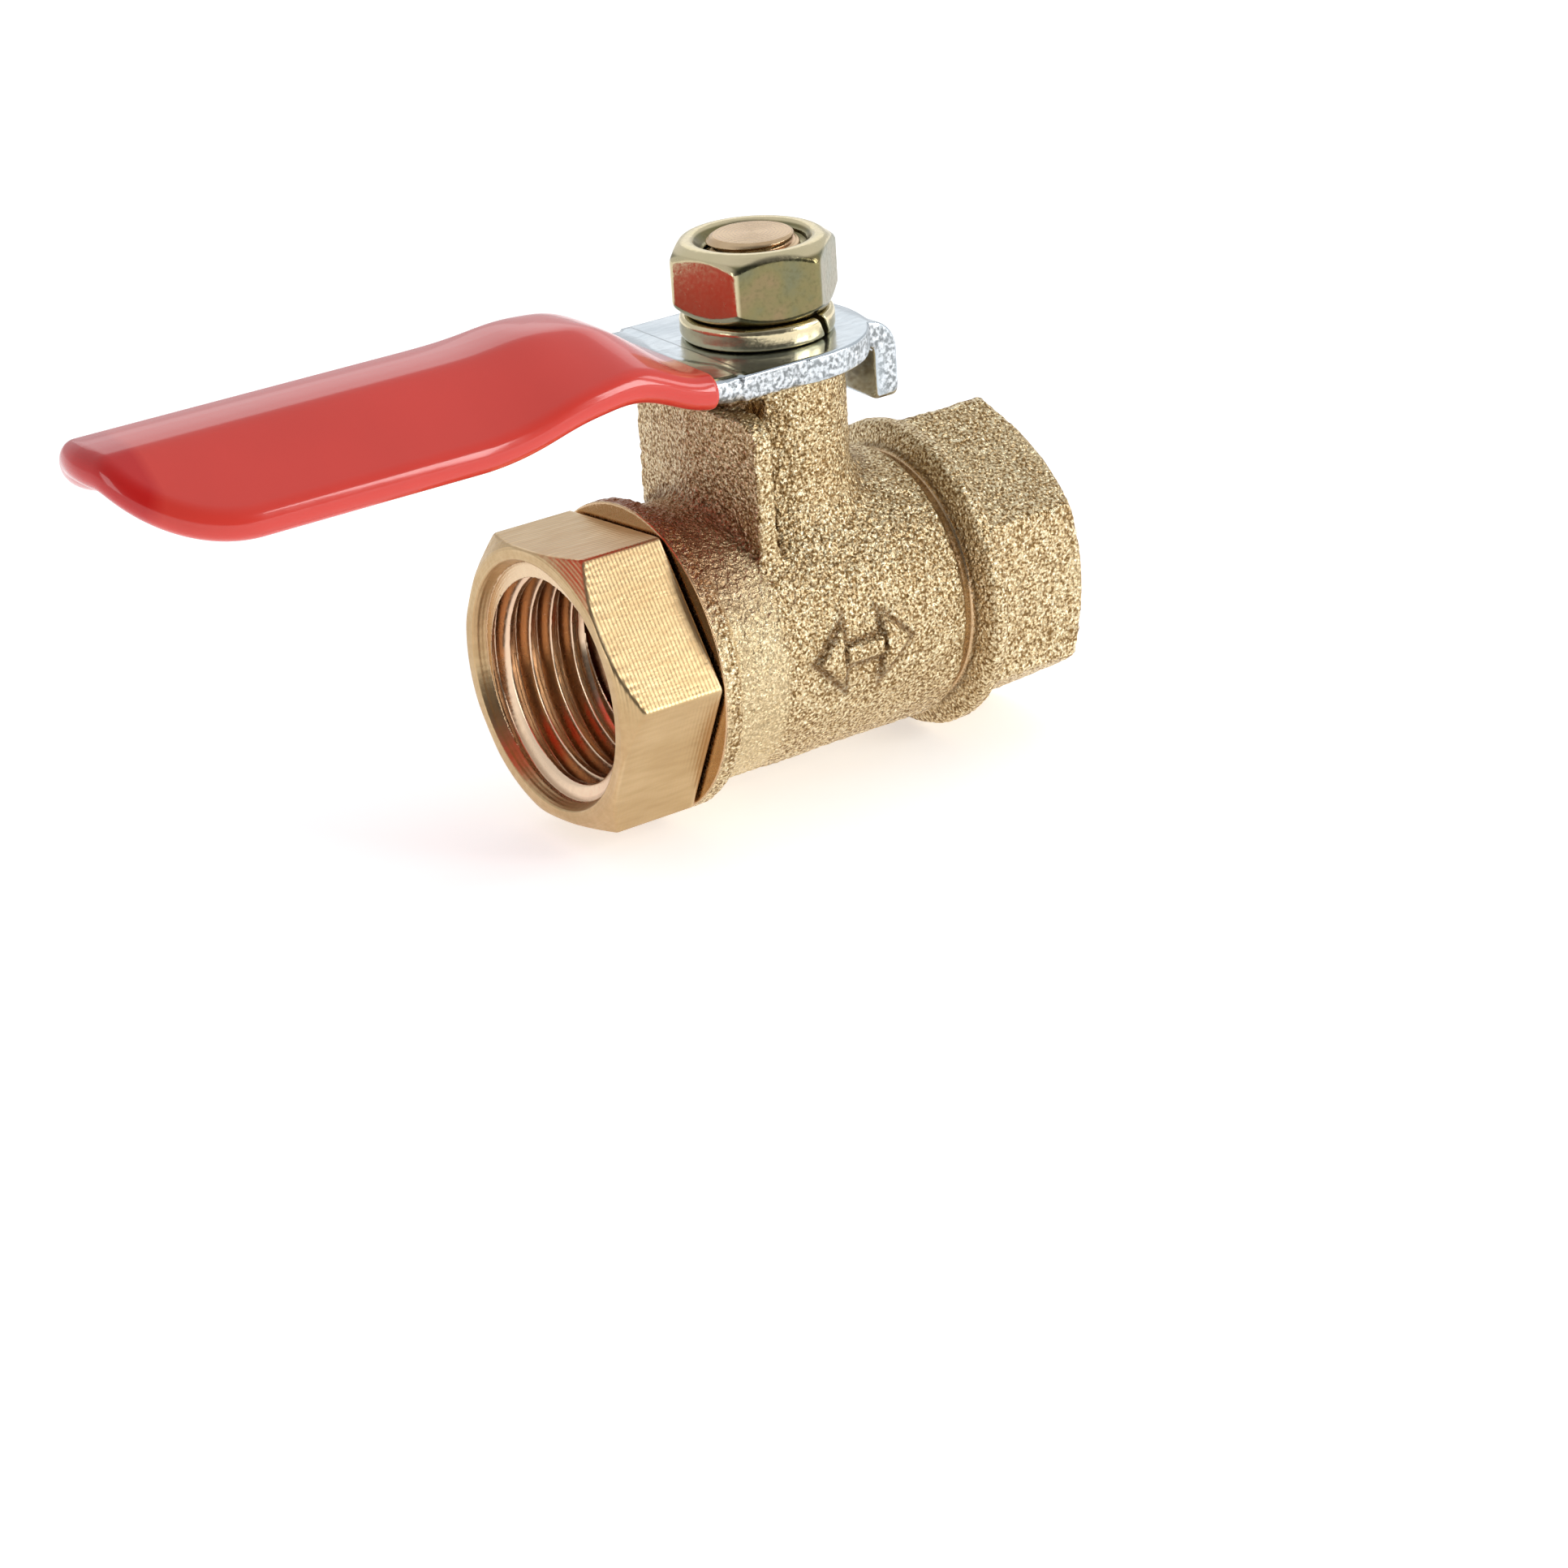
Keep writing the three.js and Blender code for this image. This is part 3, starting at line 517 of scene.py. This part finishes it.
def surface_net(field, origin, cell):
    """Points and four-sided faces of the surface where the sampled field is 0."""
    inside = field < 0
    corners = [(a, b, c) for a in (0, 1) for b in (0, 1) for c in (0, 1)]
    last = [n - 1 for n in field.shape]
    count = sum(
        inside[a : last[0] + a, b : last[1] + b, c : last[2] + c].astype(np.uint8) for a, b, c in corners
    )
    cells = np.argwhere((count > 0) & (count < 8))
    i, j, k = cells.T
    values = {(a, b, c): field[i + a, j + b, k + c] for a, b, c in corners}
    total = np.zeros((len(cells), 3))
    hits = np.zeros(len(cells))
    for corner in corners:
        for axis in range(3):
            if corner[axis]:
                continue
            end = tuple(1 if n == axis else corner[n] for n in range(3))
            a, b = values[corner], values[end]
            crossed = (a < 0) != (b < 0)
            share = np.where(crossed, a / np.where(crossed, a - b, 1), 0)
            total += crossed[:, None] * np.array(corner)
            total[:, axis] += share
            hits += crossed
    points = origin + cell * (cells + total / hits[:, None])
    index = np.full(count.shape, -1, np.int64)
    index[i, j, k] = np.arange(len(cells))
    faces = []
    for axis in range(3):
        u, v = (axis + 1) % 3, (axis + 2) % 3
        low, high = [slice(1, -1)] * 3, [slice(1, -1)] * 3
        low[axis], high[axis] = slice(0, -1), slice(1, None)
        a, b = inside[tuple(low)], inside[tuple(high)]
        for leaving in (True, False):
            edges = np.argwhere(a & ~b if leaving else b & ~a)
            edges += np.array([0 if n == axis else 1 for n in range(3)])
            ring = []
            for du, dv in ((-1, -1), (0, -1), (0, 0), (-1, 0)):
                near = edges.copy()
                near[:, u] += du
                near[:, v] += dv
                ring.append(index[near[:, 0], near[:, 1], near[:, 2]])
            faces.append(np.stack(ring if leaving else ring[::-1], 1))
    return points, np.concatenate(faces)


def gradient(shape, points, step):
    slopes = []
    for axis in range(3):
        ahead, behind = points.copy(), points.copy()
        ahead[:, axis] += step
        behind[:, axis] -= step
        slopes.append((shape(*ahead.T) - shape(*behind.T)) / (2 * step))
    return np.stack(slopes, 1)


def settle(shape, points, cell):
    """Moves points on to the surface along the field's slope, and returns them with their normals."""
    for _ in range(3):
        slope = gradient(shape, points, cell / 4)
        steep = np.maximum((slope**2).sum(1), 0.05)
        move = -shape(*points.T)[:, None] * slope / steep[:, None]
        length = np.sqrt((move**2).sum(1))
        points = points + move * np.minimum(1, 0.5 * cell / np.maximum(length, 1e-9))[:, None]
    slope = gradient(shape, points, cell / 4)
    return points, slope / np.maximum(np.sqrt((slope**2).sum(1)), 1e-6)[:, None]


COARSE = 1  # a try-out is made on a coarser grid


def piece(node, shape, cell, body, material, relief=None, zone=None, painted_shade=None, feel=0.6):
    """Makes the surface that stands for a CAD node. relief adds fine height to it, zone marks parts of it for
    the material, the argument after zone gives painted shade, and feel is how far off the surface its hollows
    and edges are looked for."""
    low, high = box_mm(node)
    cell = cell * COARSE
    axes = [np.arange(a - 2.5 * cell, b + 3 * cell, cell) for a, b in zip(low, high)]
    x, y, z = np.meshgrid(*axes, indexing="ij", sparse=True)
    field = np.asarray(shape(x, y, z) + 0 * (x + y + z), np.float32)
    points, faces = surface_net(field, np.array([a[0] for a in axes]), cell)
    detailed = shape if relief is None else (lambda x, y, z: shape(x, y, z) - relief(x, y, z))
    points, normals = settle(detailed, points, cell)
    points = np.clip(points, low, high)
    mesh = bpy.data.meshes.new(f"{node}_skin")
    mesh.from_pydata(points * MM, [], faces)
    mesh.shade_smooth()
    mesh.normals_split_custom_set_from_vertices(normals)
    # hollow is how enclosed a point is and edge how far it stands out; materials darken by hollow as painted
    # shade and lighten by edge as painted highlights. The last value is the piece's own painted shade.
    marks = {
        "hollow": np.clip(1 - shape(*(points + normals * feel).T) / feel, 0, 1),
        "edge": np.clip(1 + shape(*(points - normals * feel).T) / feel, 0, 1),
        "zone": np.zeros(len(points)) if zone is None else zone(*points.T),
        "painted_shade": np.zeros(len(points)) if painted_shade is None else painted_shade(*points.T),
    }
    for name, values in marks.items():
        attribute = mesh.attributes.new(name, "FLOAT", "POINT")
        attribute.data.foreach_set("value", np.asarray(values, np.float32))
    mesh.materials.append(material)
    made = bpy.data.objects.new(f"{node}_skin", mesh)
    bpy.context.scene.collection.objects.link(made)
    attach(made, body)
    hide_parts(node)


# ---------------------------------------------------------------- materials

FACING_PITCH, MILLING_PITCH, TURNING_PITCH = 0.16, 0.23, 0.2


class Finish:
    """A Principled material made of nodes. Texture sizes are in millimetres on the piece itself."""

    def __init__(self, name, **uniform):
        self.material = bpy.data.materials.new(name)
        self.material.use_nodes = True
        self.tree = self.material.node_tree
        self.shader = self.tree.nodes["Principled BSDF"]
        for socket, value in uniform.items():
            self.shader.inputs[socket.replace("_", " ")].default_value = value
        place = self.node("ShaderNodeTexCoord").outputs["Object"]
        self.place = self.times(place, (1 / MM,) * 3)
        self.normal = None

    def node(self, kind, **settings):
        made = self.tree.nodes.new(kind)
        for name, value in settings.items():
            setattr(made, name, value)
        return made

    def feed(self, socket, value):
        if isinstance(value, bpy.types.NodeSocket):
            self.tree.links.new(value, socket)
        else:
            socket.default_value = value

    def times(self, a, b):
        made = self.node("ShaderNodeVectorMath", operation="MULTIPLY")
        self.feed(made.inputs[0], a)
        self.feed(made.inputs[1], b)
        return made.outputs["Vector"]

    def math(self, operation, a, b=0.0, c=0.0):
        made = self.node("ShaderNodeMath", operation=operation)
        for socket, value in zip(made.inputs, (a, b, c)):
            self.feed(socket, value)
        return made.outputs[0]

    def axes(self):
        made = self.node("ShaderNodeSeparateXYZ")
        self.feed(made.inputs[0], self.place)
        return made.outputs

    def length(self, a, b):
        return self.math("SQRT", self.math("ADD", self.math("MULTIPLY", a, a), self.math("MULTIPLY", b, b)))

    def waves(self, along, pitch):
        """Evenly spaced tool marks."""
        return self.math("SINE", self.math("MULTIPLY", along, 2 * math.pi / pitch))

    def mark(self, name):
        """A value that piece() stored on the mesh: hollow, edge, zone or the painted shade value."""
        return self.node("ShaderNodeAttribute", attribute_name=name).outputs["Fac"]

    def noise(self, size, detail=2.0, stretch=(1, 1, 1), rough=0.5):
        made = self.node("ShaderNodeTexNoise")
        self.feed(made.inputs["Vector"], self.times(self.place, stretch))
        made.inputs["Scale"].default_value = 1 / size
        made.inputs["Detail"].default_value = detail
        made.inputs["Roughness"].default_value = rough
        return made.outputs["Fac"]

    def spread(self, value, low, high, to_low=0.0, to_high=1.0):
        """Maps low to to_low and high to to_high, and holds the ends."""
        made = self.node("ShaderNodeMapRange")
        for socket, number in zip(made.inputs, (value, low, high, to_low, to_high)):
            self.feed(socket, number)
        return made.outputs[0]

    def blend(self, share, a, b):
        """Colour a where share is 0 and colour b where it is 1."""
        made = self.node("ShaderNodeMix", data_type="RGBA")
        self.feed(made.inputs[0], share)
        for socket, colour in ((made.inputs[6], a), (made.inputs[7], b)):
            self.feed(socket, colour if isinstance(colour, bpy.types.NodeSocket) else (*colour, 1))
        return made.outputs[2]

    def bump(self, height, depth, strength=1.0):
        """Adds fine relief, depth millimetres high."""
        made = self.node("ShaderNodeBump")
        made.inputs["Distance"].default_value = depth * MM
        self.feed(made.inputs["Strength"], strength)
        self.feed(made.inputs["Height"], height)
        if self.normal is not None:
            self.feed(made.inputs["Normal"], self.normal)
        self.normal = made.outputs[0]

    def done(self, colour, roughness):
        self.feed(self.shader.inputs["Base Color"], colour)
        self.feed(self.shader.inputs["Roughness"], roughness)
        if self.normal is not None:
            self.feed(self.shader.inputs["Normal"], self.normal)
        return self.material


def forged_brass():
    made = Finish("forged_brass", Metallic=1.0)
    machined = made.mark("zone")
    hollow, edge = made.mark("hollow"), made.mark("edge")
    fine, broad = made.noise(0.16, 2), made.noise(2.6, 2)
    colour = made.blend(made.spread(broad, 0.35, 0.65), (0.68, 0.50, 0.27), (0.74, 0.565, 0.32))
    colour = made.blend(made.spread(fine, 0.40, 0.51), (0.25, 0.145, 0.052), colour)
    colour = made.blend(made.spread(fine, 0.54, 0.63), colour, (1.0, 0.88, 0.60))
    # Painted shade: dark brown in grooves, fillets and under the wall, by hollow.
    colour = made.blend(made.spread(hollow, 0.24, 0.66), colour, (0.14, 0.07, 0.022))
    # Painted highlight: pale brass on the forging's convex edges, by edge.
    colour = made.blend(made.spread(edge, 0.3, 1.0, 0, 0.5), colour, (0.86, 0.71, 0.44))
    x, _, z = made.axes()
    # Painted shade: dark brown over the upper barrel on the inlet side of the wall and on the wall's
    # inlet-side face, rising from x -4.2 to -7 and z 3 to 7, patchy by the broad noise.
    painted_shade = made.math("MULTIPLY", made.spread(x, -4.2, -7.0), made.spread(z, 3.0, 7.0))
    painted_shade = made.math("MULTIPLY", painted_shade, made.spread(broad, 0.2, 0.6, 0.65, 0.95))
    colour = made.blend(painted_shade, colour, (0.27, 0.10, 0.04))
    # Painted shade: dark brown just outside the arrow's edges, from the value that piece() stored.
    colour = made.blend(made.math("MULTIPLY", made.mark("painted_shade"), 0.8), colour, (0.16, 0.08, 0.028))
    colour = made.blend(machined, colour, (0.62, 0.42, 0.24))
    rough = made.spread(fine, 0.35, 0.65, 0.48, 0.24)
    rough = made.math("MULTIPLY_ADD", machined, -0.15, rough)
    forged = made.math("SUBTRACT", 1.0, machined)
    made.bump(made.noise(0.14, 2), 0.14, forged)
    made.bump(made.noise(0.27, 2), 0.2, forged)
    return made.done(colour, rough)


def machined_brass():
    made = Finish("machined_brass", Metallic=1.0)
    bore = made.mark("zone")
    hollow, edge = made.mark("hollow"), made.mark("edge")
    x, y, z = made.axes()
    radius = made.length(y, z)
    cloud = made.noise(3.2, 3)
    colour = made.blend(made.spread(cloud, 0.35, 0.65), (0.56, 0.39, 0.20), (0.62, 0.445, 0.24))
    streak = made.noise(0.5, 3, stretch=(0.25, 1.6, 1.6))
    colour = made.blend(made.spread(streak, 0.35, 0.65, 0, 0.35), colour, (0.46, 0.30, 0.14))
    # Painted highlight: pale brass on the cap's convex edges, by edge.
    colour = made.blend(made.spread(edge, 0.25, 0.9, 0, 0.6), colour, (0.84, 0.66, 0.41))
    # In the bore, painted shade: dark brown in the thread roots, where hollow is high, against pale brass on
    # the crests.
    thread = made.blend(made.spread(hollow, 0.15, 0.75), (0.84, 0.62, 0.43), (0.36, 0.19, 0.10))
    colour = made.blend(bore, colour, thread)
    rough = made.spread(streak, 0.3, 0.7, 0.3, 0.4)
    rough = made.math("MULTIPLY_ADD", bore, -0.12, rough)
    outside = made.math("SUBTRACT", 1.0, bore)
    on_face = made.spread(x, CAP_FACE + 1.2, CAP_FACE + 0.8)
    made.bump(made.waves(radius, FACING_PITCH), 0.004, made.math("MULTIPLY", outside, on_face))
    made.bump(made.waves(x, MILLING_PITCH), 0.004, made.math("MULTIPLY", outside, 0.7))
    made.bump(made.noise(0.22, 2, stretch=(0.3, 1, 1)), 0.012, outside)
    return made.done(colour, rough)


def stem_brass():
    made = Finish("turned_brass", Metallic=1.0)
    x, y, _ = made.axes()
    cloud = made.noise(0.9, 3)
    colour = made.blend(made.spread(cloud, 0.3, 0.7), (0.62, 0.43, 0.25), (0.70, 0.51, 0.31))
    # Painted shade: dark brown in the stem's grooves and thread roots, by hollow.
    colour = made.blend(made.spread(made.mark("hollow"), 0.15, 0.8), colour, (0.42, 0.19, 0.09))
    made.bump(made.waves(made.length(x, y), TURNING_PITCH), 0.006)
    made.bump(made.noise(0.3, 2), 0.01)
    return made.done(colour, made.spread(cloud, 0.3, 0.7, 0.22, 0.32))


def polished_brass():
    made = Finish("polished_brass", Metallic=1.0)
    cloud = made.noise(1.8, 3)
    colour = made.blend(cloud, (0.78, 0.60, 0.34), (0.86, 0.70, 0.44))
    made.bump(made.noise(0.15, 2, stretch=(0.1, 1, 1)), 0.002)
    return made.done(colour, made.spread(cloud, 0.3, 0.7, 0.08, 0.16))


def bright_zinc():
    made = Finish("bright_zinc", Metallic=1.0)
    cut = made.mark("zone")
    edge = made.mark("edge")
    cloud, fine = made.noise(2.4, 3), made.noise(0.3, 3, stretch=(0.2, 1, 1))
    colour = made.blend(made.spread(cloud, 0.3, 0.7), (0.52, 0.575, 0.61), (0.63, 0.68, 0.71))
    colour = made.blend(made.spread(fine, 0.4, 0.75, 0, 0.3), colour, (0.40, 0.455, 0.50))
    # Painted highlight: near white on the plate's convex edges, by edge.
    colour = made.blend(made.spread(edge, 0.3, 0.9, 0, 0.6), colour, (0.9, 0.93, 0.94))
    torn = made.blend(made.spread(made.noise(0.25, 2), 0.4, 0.58), (0.16, 0.165, 0.16), (0.78, 0.80, 0.82))
    colour = made.blend(made.math("MULTIPLY", cut, 0.8), colour, torn)
    rough = made.spread(fine, 0.3, 0.7, 0.14, 0.22)
    rough = made.math("MULTIPLY_ADD", cut, 0.16, rough)
    made.bump(made.noise(0.5, 3), 0.01)
    made.bump(fine, 0.006)
    made.bump(made.noise(0.2, 3, stretch=(1, 1, 0.5), rough=0.65), 0.09, cut)
    return made.done(colour, rough)


def yellow_zinc():
    made = Finish("yellow_zinc", Metallic=1.0)
    edge, hollow = made.mark("edge"), made.mark("hollow")
    film, fleck = made.noise(1.5, 3), made.noise(0.22, 3)
    colour = made.blend(made.spread(film, 0.3, 0.5), (0.19, 0.185, 0.105), (0.225, 0.195, 0.09))
    colour = made.blend(made.spread(film, 0.5, 0.72), colour, (0.27, 0.2, 0.105))
    colour = made.blend(made.spread(fleck, 0.5, 0.75, 0, 0.5), colour, (0.14, 0.13, 0.06))
    # The zone colour: the lock washer's own lighter plating all over, and a painted highlight on the nut's
    # top face and chamfer; the nut's one flat gets it at 0.8.
    bare_and_highlight = made.blend(film, (0.64, 0.57, 0.34), (0.77, 0.64, 0.42))
    colour = made.blend(made.mark("zone"), colour, bare_and_highlight)
    # Painted highlight: pale brass on the nut's and washer's convex edges and chamfers, by edge.
    colour = made.blend(made.spread(edge, 0.2, 0.8, 0, 0.8), colour, (0.86, 0.78, 0.50))
    # Painted shade: dark olive-brown where the surface is enclosed, by hollow.
    colour = made.blend(made.spread(hollow, 0.4, 1.0, 0, 0.6), colour, (0.14, 0.10, 0.04))
    made.bump(made.noise(0.4, 3), 0.012)
    made.bump(fleck, 0.006)
    return made.done(colour, made.spread(fleck, 0.3, 0.8, 0.14, 0.3))


def red_vinyl():
    made = Finish("red_vinyl", Coat_Weight=0.6, Coat_Roughness=0.07, Specular_IOR_Level=0.25)
    cloud = made.noise(7, 2)
    colour = made.blend(made.spread(cloud, 0.3, 0.7), (0.53, 0.010, 0.008), (0.60, 0.015, 0.012))
    # Painted highlight: brighter red on the grip's rounded edges and lips, by edge.
    colour = made.blend(made.spread(made.mark("edge"), 0.2, 0.9, 0, 0.4), colour, (0.88, 0.10, 0.065))
    made.bump(made.noise(2.2, 2), 0.02)
    made.bump(made.noise(0.5, 2), 0.002)
    return made.done(colour, made.spread(cloud, 0.3, 0.7, 0.17, 0.23))


def ptfe():
    made = Finish("ptfe", IOR=1.35)
    cloud = made.noise(0.8, 3)
    made.bump(made.noise(0.2, 2), 0.005)
    colour = made.blend(cloud, (0.82, 0.81, 0.77), (0.90, 0.89, 0.86))
    return made.done(colour, made.spread(cloud, 0.3, 0.7, 0.45, 0.6))


def seal_rubber():
    made = Finish("seal_rubber")
    cloud = made.noise(0.5, 3)
    made.bump(made.noise(0.12, 2), 0.004)
    colour = made.blend(cloud, (0.012, 0.012, 0.013), (0.03, 0.03, 0.032))
    return made.done(colour, made.spread(cloud, 0.3, 0.7, 0.5, 0.7))


# ---------------------------------------------------------------- the pieces

machined, turned, yellow = machined_brass(), stem_brass(), yellow_zinc()
white, rubber = ptfe(), seal_rubber()


def body_zone(x, y, z):
    """1 where the body was machined."""
    return 1 - forged_skin(x, y, z)


forged, zinc = forged_brass(), bright_zinc()
piece("valve_body", valve_body, 0.1, "body", forged, blasted, body_zone, arrow_foot_shade, feel=0.7)
piece("end_cap", end_cap, 0.09, "body", machined, zone=cap_bore, feel=0.4)
piece("ball", ball, 0.1, "lever", polished_brass())
piece("inlet_seat_ring", seat_ring(-1), 0.08, "body", white)
piece("outlet_seat_ring", seat_ring(1), 0.08, "body", white)
piece("stem", stem, 0.06, "lever", turned, feel=0.25)
piece("stem_thrust_washer", thrust_washer, 0.06, "body", white)
piece("stem_lower_o_ring", stem_ring(RING_GROOVES[0]), 0.06, "lever", rubber)
piece("stem_upper_o_ring", stem_ring(RING_GROOVES[1]), 0.06, "lever", rubber)
piece("lever_plate", lever_plate, 0.1, "lever", zinc, shear_marks, sheared, feel=0.3)
piece("handle_grip", handle_grip, 0.1, "lever", red_vinyl(), feel=0.8)
piece("lock_washer", lock_washer, 0.06, "lever", yellow, zone=all_bright, feel=0.3)
piece("lever_nut", lever_nut, 0.06, "lever", yellow, zone=nut_top, feel=0.3)


# ---------------------------------------------------------------- floor, light and camera

FLOOR_HALF = 3.0
FLOOR_GLOW = 0.48
floor_mesh = bpy.data.meshes.new("floor")
floor_z = cad_box[0][2]
floor_mesh.from_pydata(
    [(-FLOOR_HALF, -FLOOR_HALF, floor_z), (FLOOR_HALF, -FLOOR_HALF, floor_z),
     (FLOOR_HALF, FLOOR_HALF, floor_z), (-FLOOR_HALF, FLOOR_HALF, floor_z)],
    [],
    [(0, 1, 2, 3)],
)
floor = bpy.data.objects.new("floor", floor_mesh)
bpy.context.scene.collection.objects.link(floor)
paper = Finish("floor_paper")
paper_grain = paper.noise(8, 3)
paper.shader.inputs["Emission Color"].default_value = (1, 1, 1, 1)
paper.shader.inputs["Emission Strength"].default_value = FLOOR_GLOW
floor_mesh.materials.append(
    paper.done(paper.blend(paper_grain, (0.93, 0.93, 0.93), (0.95, 0.95, 0.95)), 0.9)
)


def direction(azimuth, elevation):
    """Unit vector from the object at that azimuth and elevation, in degrees. Azimuth 0 is -Y, 90 is +X."""
    a, e = math.radians(azimuth), math.radians(elevation)
    return np.array([math.sin(a) * math.cos(e), -math.cos(a) * math.cos(e), math.sin(e)])


def placed(x_axis, y_axis, z_axis, place):
    """The matrix that stands an object at a place, with its own axes along those given."""
    return Matrix([*zip(x_axis, y_axis, z_axis, place), (0, 0, 0, 1)])


def softbox(name, azimuth, elevation, distance, width, height, power):
    """A rectangular light that faces the object. Sizes are metres and power is watts."""
    light = bpy.data.lights.new(name, "AREA")
    light.shape = "RECTANGLE"
    light.size, light.size_y = width, height
    light.energy = power
    back = direction(azimuth, elevation)
    right = np.cross([0, 0, 1], back)
    right /= np.linalg.norm(right)
    lamp = bpy.data.objects.new(name, light)
    lamp.matrix_world = placed(right, np.cross(back, right), back, back * distance)
    bpy.context.scene.collection.objects.link(lamp)


softbox("key_softbox", azimuth=34, elevation=19, distance=0.5, width=0.14, height=0.26, power=1.0)
softbox("side_softbox", azimuth=58, elevation=26, distance=0.5, width=0.1, height=0.26, power=0.35)
softbox("back_softbox", azimuth=146, elevation=28, distance=0.6, width=0.5, height=0.25, power=0.2)
softbox("left_softbox", azimuth=-85, elevation=8, distance=0.5, width=0.12, height=0.3, power=0.3)

# The room is bright all round except on the near side, so that bright metal has something dark to reflect. It
# dims from "bright" to "dark" as the cosine of the angle from the dark side's middle rises from rim to core.
ROOM = {"dark_side": (-20, 10), "rim": 0.0, "core": 0.9, "bright": 0.78, "dark": 0.12}
world = bpy.data.worlds.new("studio")
bpy.context.scene.world = world
world.use_nodes = True
sky = world.node_tree
way = sky.nodes.new("ShaderNodeTexCoord").outputs["Generated"]
facing = sky.nodes.new("ShaderNodeVectorMath")
facing.operation = "DOT_PRODUCT"
facing.inputs[1].default_value = direction(*ROOM["dark_side"])
sky.links.new(way, facing.inputs[0])
bright = sky.nodes.new("ShaderNodeMapRange")
bright.interpolation_type = "SMOOTHSTEP"
for socket, key in zip(bright.inputs[1:5], ("rim", "core", "bright", "dark")):
    socket.default_value = ROOM[key]
sky.links.new(facing.outputs["Value"], bright.inputs[0])
sky.links.new(bright.outputs[0], sky.nodes["Background"].inputs["Strength"])
sky.nodes["Background"].inputs["Color"].default_value = (0.95, 0.97, 1.0, 1)

CAMERA = {"azimuth": -34.24, "elevation": 23.716, "roll": -3.68, "distance": 229.437, "lens": 96.91}
AIM = (-0.436, 9.340)  # how far the object's origin sits right of and above the camera's axis, in millimetres

back = direction(CAMERA["azimuth"], CAMERA["elevation"])
level = np.cross([0, 0, 1], back)
level /= np.linalg.norm(level)
up = np.cross(back, level)
roll = math.radians(CAMERA["roll"])
right = math.cos(roll) * level + math.sin(roll) * up
up = math.cos(roll) * up - math.sin(roll) * level
place = (CAMERA["distance"] * back - AIM[0] * right - AIM[1] * up) * MM
lens = bpy.data.cameras.new("camera")
lens.sensor_width = 36
lens.lens = CAMERA["lens"]
lens.clip_start, lens.clip_end = 0.01, 20
camera = bpy.data.objects.new("camera", lens)
camera.matrix_world = placed(right, up, back, place)
bpy.context.scene.collection.objects.link(camera)
bpy.context.scene.camera = camera
bpy.context.scene.view_settings.view_transform = "Standard"
